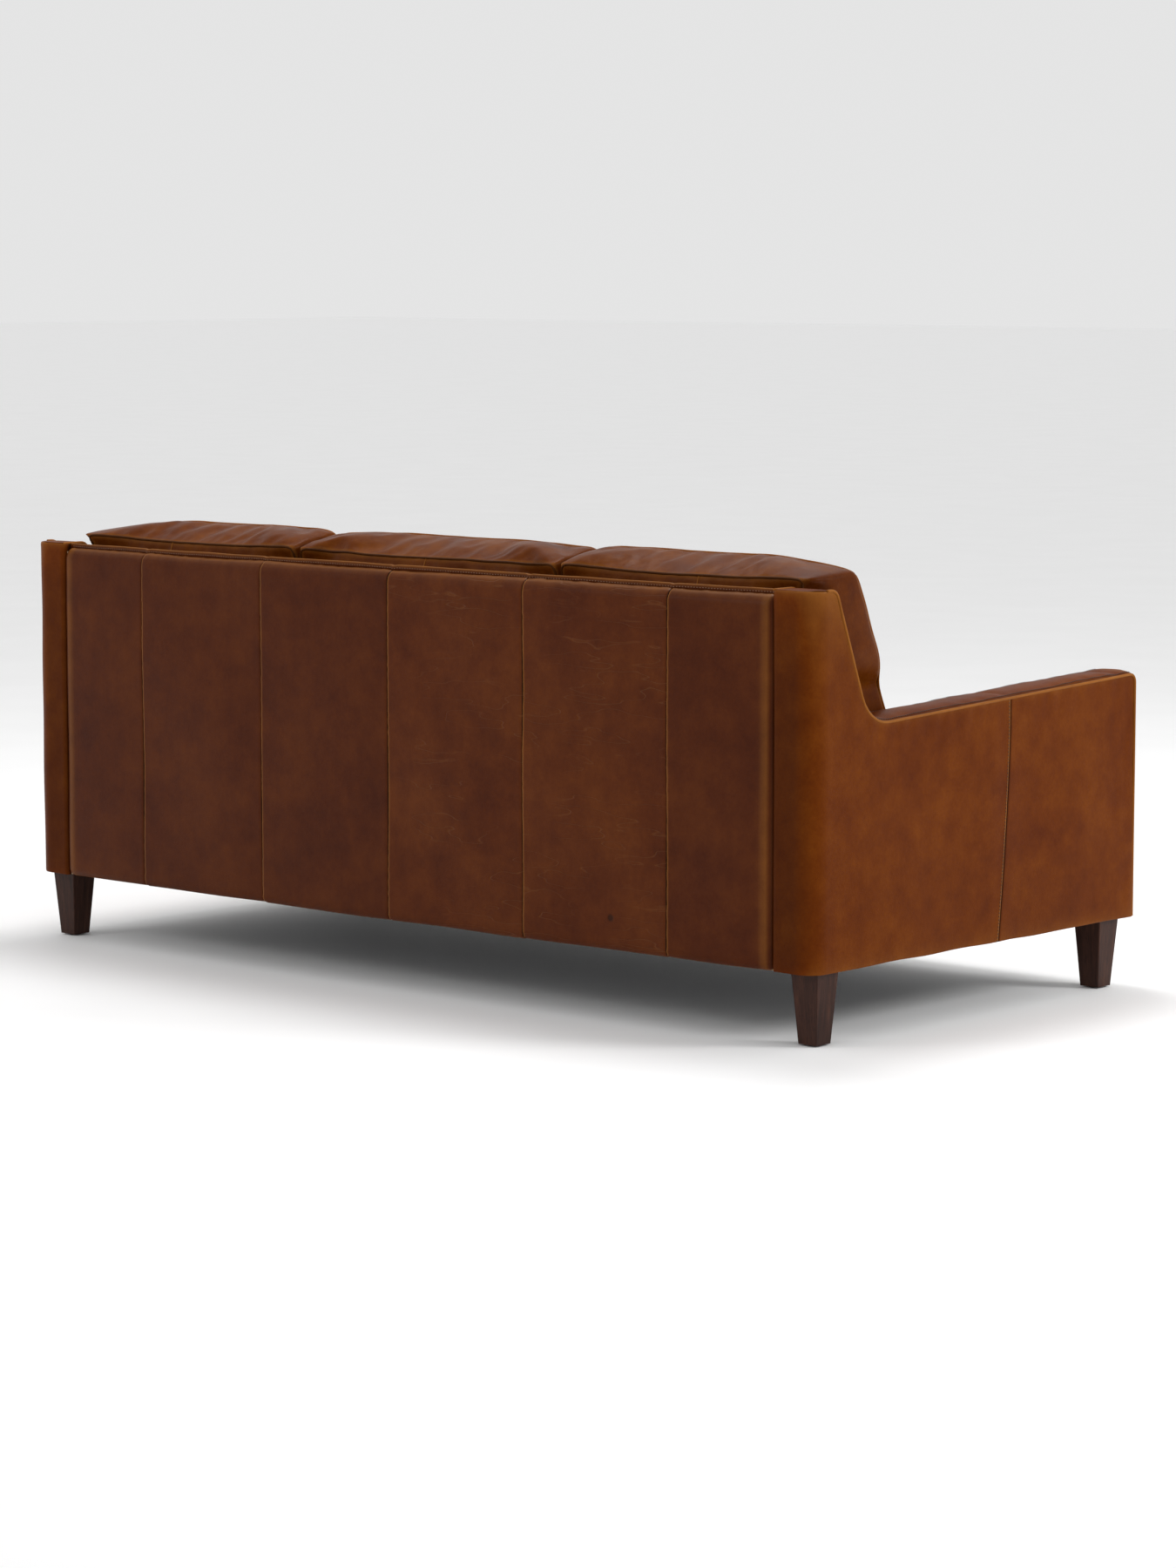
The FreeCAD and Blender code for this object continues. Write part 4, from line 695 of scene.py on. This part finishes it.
for side_name, side in (("left", -1), ("right", 1)):
    outward = (side, 0.4, 0)
    plan = rounded([(ARM_WIDE, 0.034), (ARM_WIDE, 0), (0, 0), (0, SEAM_PLACE)], [0.004, CORNER])
    plan = along(plan, spread(lengths(plan)[-1], 0.005))
    rear, rear_normal = arm_panel(f"arm_rear_panel_{side_name}", side, outward, plan[:, 0], plan[:, 1], True,
                                  40 + side, f"arm_outside_rear_{side_name}")
    run = SEAM_PLACE + spread(DEPTH - SEAM_PLACE, 0.007)
    arm_panel(f"arm_front_panel_{side_name}", side, outward, 0 * run, run, True, 50 + side,
              f"arm_outside_front_{side_name}")
    run = 0.03 + spread(DEPTH - 0.03, 0.007)
    inner = np.full(run.shape, ARM_WIDE)
    arm_panel(f"arm_inside_panel_{side_name}", side, (-side, 0, 0), inner, run, False, 60 + side,
              f"arm_inside_{side_name}")

    # the band, over the wing and the arm and down the front
    far = spread(lengths(outline)[-1], 0.006)
    line = along(outline, far)
    share = spread(ARM_WIDE, 0.007) / ARM_WIDE
    corner_in = CORNER - np.sqrt(np.maximum(CORNER ** 2 - np.maximum(CORNER - line[:, 0], 0) ** 2, 0))
    inward = corner_in[:, None] + share[None, :] * (ARM_WIDE - corner_in[:, None])
    face = in_arm(side, inward, line[:, :1], line[:, 1:])
    normal = face_normals(face, (0, -1, 1))
    edge = np.minimum(inward - corner_in[:, None], ARM_WIDE - inward)
    middle = np.clip(edge / (ARM_WIDE / 2), 0, 1)
    pinch = sum(np.exp(-((far - spot) / 0.012) ** 2) for spot in (0.74, 1.1))[:, None]
    puckers = 0.0012 * ripple(far[:, None] * 1.4, inward * 0.6, 0.07, 70 + side) * np.exp(-edge / 0.02)
    crown = (1 - (1 - middle) ** 3) * np.clip((far[:, None] - 0.06) / 0.1, 0, 1)
    lift = 0.001 + 0.0085 * crown * (1 - 0.4 * pinch) + puckers - drop(edge, 0.005, 0.0022)
    lift = lift + 0.0014 * ripple(far[:, None], inward, 0.16, 72 + side) * crown
    face = face + normal * lift[..., None]
    # Lighter near the front of the arm; painted shade along both edges of the band beside the piping.
    worn = 0.35 * np.exp(-((line[:, :1] - DEPTH + 0.01) / 0.02) ** 2) - 0.55 * np.exp(-(edge / 0.0045) ** 2)
    hide(f"arm_band_leather_{side_name}", face, (0, -1, 1), side_leather, worn, "leather_cover",
         f"arm_band_{side_name}")

    # piping over both edges of the band, one length each
    ahead = outline[outline[:, 0] >= CORNER - 0.004]
    lines = [in_arm(side, 0, ahead[:, 0], ahead[:, 1]), in_arm(side, ARM_WIDE, outline[:, 0], outline[:, 1])]
    for edge_name, line in zip(("outer", "inner"), lines):
        closed_sweep(f"arm_piping_{edge_name}_{side_name}", tube(evenly(line, 420), PIPE), pipe_leather, 0.6,
                     "frame", "leather_cover")

    # stitches: dark ones inside the piping from the sweep to the front, and behind the side seam
    top_run = (far > 0.34) & (far < lengths(outline)[-1] - 0.46)
    rows = [face[top_run, np.argmin(np.abs(inward[-1] - place))] + 0.0007 * normal[top_run, 4]
            for place in (0.0085, ARM_WIDE - 0.0085)]
    stitch_rows(f"arm_top_stitches_{side_name}", rows, dark_thread, "frame", "leather_cover", 0.0064, 0.0046,
                0.0023)
    column = len(plan) - 1 - np.argmin(np.abs(plan[::-1, 1] - (SEAM_PLACE - 0.0062)))
    row = rear[column, 3:-3] + 0.0003 * rear_normal[column, 3:-3]
    stitch_rows(f"arm_side_stitches_{side_name}", [row], dark_thread, "frame", "leather_cover", 0.0066, 0.0042)

# ------------------------------ inside back
# A single leather cover over foam and webbing, which the back cushions lean on.
# Its foot is tucked down behind the seat cushions and stapled to the rear rail.

EDGE = HALF_BACK - 0.001
TUCKED = 0.0105          # how far the cover's top edge lies under the band
BEHIND = 0.005           # how far the padding lies behind the leather


def flat_panel(name, rows, toward, material, slots, lift, soft, seed, gap=0.02, roll=0.003, half=EDGE):
    """A tight panel across the sofa, from one Y and Z to another."""
    first, second, third, fourth = (np.array((side * half, *row), float) for row in rows for side in (-1, 1))
    across = spread(np.linalg.norm(second - first), gap)
    down = spread(np.linalg.norm(third - first), gap)
    u = (across / across[-1])[:, None, None]
    v = (down / down[-1])[None, :, None]
    face = (1 - v) * ((1 - u) * first + u * second) + v * ((1 - u) * third + u * fourth)
    edge = np.minimum(np.minimum(across, across[-1] - across)[:, None],
                      np.minimum(down, down[-1] - down)[None, :])
    swell = soft * np.clip(edge / 0.08, 0, 1) ** 0.5
    slack = 0.0008 * ripple(across[:, None], down[None, :], 0.25, seed)
    height = lift + swell + slack - drop(edge, 0.008, roll)
    face = face + face_normals(face, toward) * height[..., None]
    worn = 0.35 * np.exp(-edge / 0.004)
    hide(name, face, toward, material, worn, *slots)
    return face


cover_low, cover_high = plain_points("inside_back_cover")
top_y = cover_low[1] + (cover_high[2] - cover_low[2]) * LEAN
inside_rows = ((top_y - TUCKED * LEAN, cover_high[2] - TUCKED), (cover_low[1], cover_low[2]))
flat_panel("inside_back_leather", inside_rows, (0, -1, 0.4), side_leather,
           ("leather_cover", "inside_back_cover"), 0.0002, 0.0, 81)
angle = math.atan(LEAN)
pad_rows = [(y + BEHIND * math.cos(angle), z - BEHIND * math.sin(angle)) for y, z in inside_rows]
flat_panel("inside_back_padding", pad_rows, (0, -1, 0.4), padding, ("padding", "inside_back_pad"),
           0.0, 0.0, 82, half=EDGE * 0.985)

# ------------------------------ deck, front border and dust cover
# Under the seat cushions a woven cloth covers thin foam on the springs. A leather border faces the front rail.
# A black cloth is stapled flat under the frame to keep dust out.

deck_cloth = woven("deck_cloth", (0.06, 0.032, 0.018), (0.035, 0.018, 0.01), 1400)
deck_low, deck_high = plain_points("deck_cover")
TILT = math.tan(math.radians(2))
rear_top = deck_high[2] - (deck_high[1] - deck_low[1]) * TILT
flat_panel("deck_cloth_cover", ((deck_high[1] - 0.003, rear_top), (deck_low[1], deck_high[2])), (0, 0, 1),
           deck_cloth, ("deck_cloth", "deck_cover"), 0.001, 0.0, 83, roll=0.001)
border_low, border_high = plain_points("front_border_cover")
border_face = flat_panel("front_border_leather", ((border_low[1], border_high[2] - 0.001),
                                                  (border_low[1], border_low[2])), (0, -1, 0), side_leather,
                         ("leather_cover", "front_border_cover"), 0.0012, 0.003, 84, 0.012)
line = border_face[:, 0] + np.array((0, 0.001, 0.0008))
closed_sweep("front_border_piping", tube(evenly(line, 260), PIPE), pipe_leather, 0.25, "frame",
             "leather_cover")
dress(["dust_cover"], woven("dust_cloth", (0.03, 0.03, 0.032), (0.012, 0.012, 0.013), 900, 0.95))

# ------------------------------ cushions
# Three seat cushions lie on the deck and three back cushions stand on them, leaning on the inside back.
# Each is a leather case filled with foam and fibre: two faces and a boxing strip, with piped seams between.

cushion_leather = plain_hide("leather_cushion", (0.062, 0.0115, 0.0006), (0.094, 0.0205, 0.0012),
                             (0.132, 0.034, 0.0022), seed=57.0, gloss=0.04, rough=0.26)
SLOPE = math.atan(TILT)
REST_LEAN = math.atan(LEAN)
FOOT_SHEAR = math.tan(REST_LEAN - SLOPE)
CELL = 0.0125            # how far apart a cushion's points lie
SEAT_THICK = 0.165
BACK_THICK = 0.159
WIDTHS = {"left": 0.6, "middle": 0.706, "right": 0.6}
STEPS = 20


class Form:
    """The grid of a cushion: points on a box, with its faces, and what lies where."""

    def __init__(self, size):
        self.counts = [max(4, int(round(length / CELL))) for length in size]
        spots = {}
        self.faces = []
        for axis in range(3):
            one, two = [other for other in range(3) if other != axis]
            for end in (0, self.counts[axis]):
                for i in range(self.counts[one]):
                    for j in range(self.counts[two]):
                        corners = []
                        for step_i, step_j in ((0, 0), (1, 0), (1, 1), (0, 1)):
                            key = [0, 0, 0]
                            key[axis], key[one], key[two] = end, i + step_i, j + step_j
                            corners.append(spots.setdefault(tuple(key), len(spots)))
                        outward = (end > 0) == (axis != 1)
                        self.faces.append(corners if outward else corners[::-1])
        self.spots = spots
        self.keys = np.array(list(spots))
        self.share = self.keys / np.array(self.counts)

    def ring(self, third):
        """Point numbers round the edge of one of the two faces, in order."""
        wide, tall, _ = self.counts
        keys = [(i, 0) for i in range(wide)] + [(wide, j) for j in range(tall)]
        keys += [(i, tall) for i in range(wide, 0, -1)] + [(0, j) for j in range(tall, 0, -1)]
        return [self.spots[(i, j, third)] for i, j in keys]


def bow(share):
    """A crown between 0 at the ends and 1 in the middle, full over most of its width."""
    return 1 - np.abs(2 * share - 1) ** 2.6


def cushion_start(kind, form, size):
    """Where a cushion's points start, in its own axes: across, along its face, and through it."""
    across, up, through = (form.share[:, axis] for axis in range(3))
    wide, tall, thick = size
    x = (across - 0.5) * wide
    y = up * tall
    z = through * thick
    on_side = (form.keys[:, 0] == 0) | (form.keys[:, 0] == form.counts[0])
    on_end = (form.keys[:, 1] == 0) | (form.keys[:, 1] == form.counts[1])
    face_bow = np.minimum(bow(across), bow(up))
    if kind == "seat":
        z = z + np.where(through == 1, 0.006 * face_bow, 0)
        y = y + np.where(on_end & (up == 0), -0.006 * bow(across) * bow(through), 0)
        y = y + 0.008
    else:
        z = through * (thick - 0.04 * (1 - np.sqrt(1 - up))) + np.where(through == 1, 0.014 * face_bow, 0)
        y = y - (1 - up) * z * FOOT_SHEAR
        y = y + np.where(up == 1, 0.007 * np.sin(np.pi * through) * bow(across), 0)
        y = y + 0.009 * (1 - through) * up ** 4
    x = x + np.where(on_side, np.sign(across - 0.5) * 0.004 * bow(up) * bow(through), 0)
    return np.stack([x, y, z], -1)


seat_boxes, back_boxes = ({place: plain_points(f"{kind}_cushion_case_{place}") for place in WIDTHS}
                          for kind in ("seat", "back"))
seat_low, seat_high = seat_boxes["middle"]
SEAT_LONG = (seat_high[1] - seat_low[1]) / math.cos(SLOPE) - SEAT_THICK * math.sin(SLOPE)
SEAT_FOOT = seat_high[2] - SEAT_THICK * math.cos(SLOPE)


def seat_axes(place):
    """Origin and axes of a seat cushion: the front bottom edge, across, rearwards, and up."""
    low, high = seat_boxes[place]
    origin = np.array([(low[0] + high[0]) / 2, seat_low[1], SEAT_FOOT])
    return origin, np.array([(1, 0, 0), (0, math.cos(SLOPE), -math.sin(SLOPE)),
                             (0, math.sin(SLOPE), math.cos(SLOPE))])


def back_axes(place):
    """Origin and axes of a back cushion: its rear bottom edge, across, up the lean, and forwards."""
    ends = {"left": (-0.956, -0.356), "middle": (-0.353, 0.353), "right": (0.356, 0.956)}[place]
    foot_y = back_boxes["middle"][1][1] - 0.12
    seat_top = SEAT_FOOT + SEAT_THICK * math.cos(SLOPE) - (foot_y - seat_low[1]) * TILT
    rear_y = top_y - (cover_high[2] - seat_top - 0.003) * LEAN - 0.0015 / math.cos(REST_LEAN)
    origin = np.array([(ends[0] + ends[1]) / 2, rear_y, seat_top + 0.003])
    return origin, np.array([(1, 0, 0), (0, math.sin(REST_LEAN), math.cos(REST_LEAN)),
                             (0, -math.cos(REST_LEAN), math.sin(REST_LEAN))])


def to_room(points, axes):
    """A cushion's own points, as points of the room."""
    origin, ways = axes
    return origin + points @ ways


def swollen(name, form, start, kind, axes):
    """A cloth object over a form, blown up with its seams held short, ready to be simulated."""
    piece = build(name, to_room(start, axes), form.faces, cushion_leather)
    edges = ((form.keys == 0) | (form.keys == np.array(form.counts))).sum(axis=1)
    seams = (edges >= 2) & ((form.keys[:, 2] == 0) | (form.keys[:, 2] == form.counts[2]))
    if kind == "seat":
        held = form.keys[:, 2] == 0
    else:
        held = (form.keys[:, 2] == 0) & (form.share[:, 1] < 0.8) | (form.keys[:, 1] == 0)
    for group, chosen in (("seams", seams), ("hold", held)):
        piece.vertex_groups.new(name=group).add(np.flatnonzero(chosen).tolist(), 1.0, "REPLACE")
    cloth = piece.modifiers.new("cloth", "CLOTH")
    settings = {"quality": 5, "mass": 0.35, "tension_stiffness": 22, "compression_stiffness": 18,
                "shear_stiffness": 8, "bending_stiffness": 1.2, "tension_damping": 12,
                "compression_damping": 12, "air_damping": 4, "use_pressure": True,
                "uniform_pressure_force": 4.0, "vertex_group_shrink": "seams", "shrink_min": -0.022,
                "shrink_max": 0.035, "vertex_group_mass": "hold", "pin_stiffness": 8}
    for name, setting in settings.items():
        setattr(cloth.settings, name, setting)
    cloth.settings.effector_weights.gravity = 0
    cloth.collision_settings.use_collision = False
    cloth.point_cache.frame_start = 1
    cloth.point_cache.frame_end = STEPS
    return piece


cushions = []
for kind, find_axes, long, thick in (("seat", seat_axes, SEAT_LONG - 0.016, 0.148),
                                     ("back", back_axes, 0.436, 0.166)):
    for place, wide in WIDTHS.items():
        size = (wide - 0.004, long, thick)
        axes = find_axes(place)
        form = Form(size)
        start = cushion_start(kind, form, size)
        piece = swollen(f"{kind}_cushion_{place}", form, start, kind, axes)
        cushions.append((kind, place, form, start, axes, piece))
for step in range(1, STEPS + 1):
    bpy.context.scene.frame_set(step)
seen = bpy.context.evaluated_depsgraph_get()
blown_up = []
for *_, piece in cushions:
    moved = np.empty(len(piece.data.vertices) * 3)
    blown = piece.evaluated_get(seen)
    blown.data.vertices.foreach_get("co", moved)
    blown_up.append(moved.reshape(-1, 3))
bpy.context.scene.frame_set(1)

CAP = 0.03               # how far the stuffing may move a point
OVERHANG = 0.029         # how far the outer back cushions bulge over the arms
for (kind, place, form, start, axes, piece), moved in zip(cushions, blown_up):
    body = f"{kind}_cushion_{place}"
    piece.modifiers.clear()
    piece.vertex_groups.clear()
    origin, ways = axes
    local = (moved - origin) @ ways.T
    shift = local - start
    outer = {"left": -1, "middle": 0, "right": 1}[place]
    if kind == "back":
        calm = np.exp(-((1 - outer * (2 * form.share[:, :1] - 1)) / 0.25) ** 2) * abs(outer)
        shift = shift * (0.3, 0.7, 0.6) * (1 - 0.7 * calm)
    far = np.linalg.norm(shift, axis=1, keepdims=True)
    local = start + shift * np.minimum(1, CAP / np.maximum(far, 1e-9))
    half = WIDTHS[place] / 2 + 0.0008
    low_x = np.full(len(local), -half)
    high_x = np.full(len(local), half)
    if kind == "back" and outer:
        room = to_room(local, axes)
        past = np.sqrt(np.clip((room[:, 2] - 0.65) / 0.06, 0, 1))
        clear = np.maximum(np.clip((local[:, 2] - 0.025) / 0.03, 0, 1),
                           np.clip((room[:, 2] - 0.838) / 0.006, 0, 1))
        extra = OVERHANG * past * clear
        side_share = np.clip((outer * local[:, 0] - half + 0.06) / 0.055, 0, 1)
        local[:, 0] += outer * extra * side_share ** 2
        high_x = high_x + extra * (outer > 0)
        low_x = low_x - extra * (outer < 0)
    if kind == "back":
        crest = form.share[:, 1] ** 4 * form.share[:, 2]
        outer_end = np.clip((outer * (2 * form.share[:, 0] - 1) - 0.4) / 0.6, 0, 1)
        local[:, 1] += (0.008 * bow(form.share[:, 0]) - 0.026 * outer_end ** 1.5) * crest
    local[:, 0] = np.clip(local[:, 0], low_x, high_x)
    if kind == "seat":
        local[:, 2] = np.clip(local[:, 2], 0.0008, SEAT_THICK + 0.004 * bow(form.share[:, 0]))
        under_back = to_room(local, axes)[:, 1] > 0.02
        local[under_back, 2] = np.minimum(local[under_back, 2], SEAT_THICK)
        local[:, 1] = np.clip(local[:, 1], 0.0, SEAT_LONG)
    else:
        local[:, 2] = np.clip(local[:, 2], 0.0, BACK_THICK + 0.014)
        local[:, 1] = np.maximum(local[:, 1], -local[:, 2] * FOOT_SHEAR)
        room = to_room(local, axes)
        local[:, 1] -= np.maximum(room[:, 2] - 0.895, 0) / math.cos(REST_LEAN)
    mesh = piece.data
    mesh.vertices.foreach_set("co", to_room(local, axes).ravel())
    rings = [form.ring(0), form.ring(form.counts[2])]
    worn = np.zeros(len(local))
    for ring in rings:
        worn[ring] = 0.5
    mesh.attributes["worn"].data.foreach_set("value", worn.astype(np.float32))
    fine = piece.modifiers.new("fine", "SUBSURF")
    fine.levels = fine.render_levels = 1
    seen = piece.evaluated_get(bpy.context.evaluated_depsgraph_get()).data
    spots = np.empty(len(seen.vertices) * 3)
    seen.vertices.foreach_get("co", spots)
    spots = spots.reshape(-1, 3)[:len(local)]
    for ring, face_name in zip(rings, ("inner", "outer")):
        line = spots[ring + ring[:1]]
        for _ in range(2):
            line[1:-1] = (line[:-2] + 2 * line[1:-1] + line[2:]) / 4
        line = evenly(line, len(ring) * 2)
        # Painted shade on the back cushions' rear piping, where it lies against the inside back; other piping
        # is a little lighter.
        rubbing_and_painted_light = -0.7 if (kind, face_name) == ("back", "inner") else 0.2
        closed_sweep(f"{kind}_cushion_piping_{face_name}_{place}", tube(line, 0.0026), pipe_leather, rubbing_and_painted_light,
                     body, "leather_cushion")
    if kind == "back":
        columns = np.arange(form.counts[0] + 1)
        seam_x = {"left": -0.708, "middle": 0.0, "right": 0.715}[place] - origin[0]
        column = columns[np.argmin(np.abs((columns / form.counts[0] - 0.5) * 2 * half - seam_x))]
        line = spots[[form.spots[(column, j, 0)] for j in range(form.counts[1] + 1)]]
        line = evenly(line - 0.0002 * ways[2], 90)
        closed_sweep(f"back_cushion_rear_seam_{place}", tube(line, 0.0013), pipe_leather, 0.5, body,
                     "leather_cushion")
    settle(piece, body, "leather_cushion", f"{kind}_cushion_case_{place}", f"{kind}_cushion_core_{place}")

# ------------------------------ stage, light and camera
# A pale floor and soft studio lights, and the camera behind the sofa at its left rear corner.

floor_material = speckled("studio_floor", (3.0, 2, 0.5), ((0.3, 0.96), (0.7, 0.98)), (0.7,), None)
WIDE = 60.0
floor_corners = [(-WIDE, -WIDE, 0), (WIDE, -WIDE, 0), (WIDE, WIDE, 0), (-WIDE, WIDE, 0)]
build("studio_floor", floor_corners, [(0, 1, 2, 3)], floor_material)

bpy.context.scene.view_settings.view_transform = "Standard"
world = bpy.data.worlds.new("studio")
world.use_nodes = True
sky = world.node_tree.nodes["Background"].inputs
sky["Color"].default_value = (1, 1, 1, 1)
sky["Strength"].default_value = 0.78
bpy.context.scene.world = world


def soft_box(name, spot, target, size, power):
    """A large square studio light that faces a target."""
    light = bpy.data.lights.new(name, "AREA")
    light.shape = "SQUARE"
    light.size = size
    light.energy = power
    lamp = put(name, light)
    lamp.location = spot
    lamp.rotation_euler = (Vector(target) - Vector(spot)).to_track_quat("-Z", "Y").to_euler()


soft_box("side_light", (-5.5, -2.5, 3.2), (-0.6, 0.1, 0.5), 1.6, 150)
soft_box("back_light", (3.5, 6.5, 4.5), (0, 0.3, 0.5), 2.0, 70)
soft_box("top_light", (0.5, -0.8, 4.5), (0, 0, 0.5), 1.6, 90)

camera_data = bpy.data.cameras.new("camera")
camera_data.lens = 103.4
camera_data.sensor_width = 36
camera = put("camera", camera_data)
YAW = math.radians(41.8)
PITCH = math.radians(6.8)
camera.location = (-6.103, 6.750, 1.447)
aim = Vector((math.sin(YAW) * math.cos(PITCH), -math.cos(YAW) * math.cos(PITCH), -math.sin(PITCH)))
camera.rotation_euler = aim.to_track_quat("-Z", "Y").to_euler()
bpy.context.scene.camera = camera
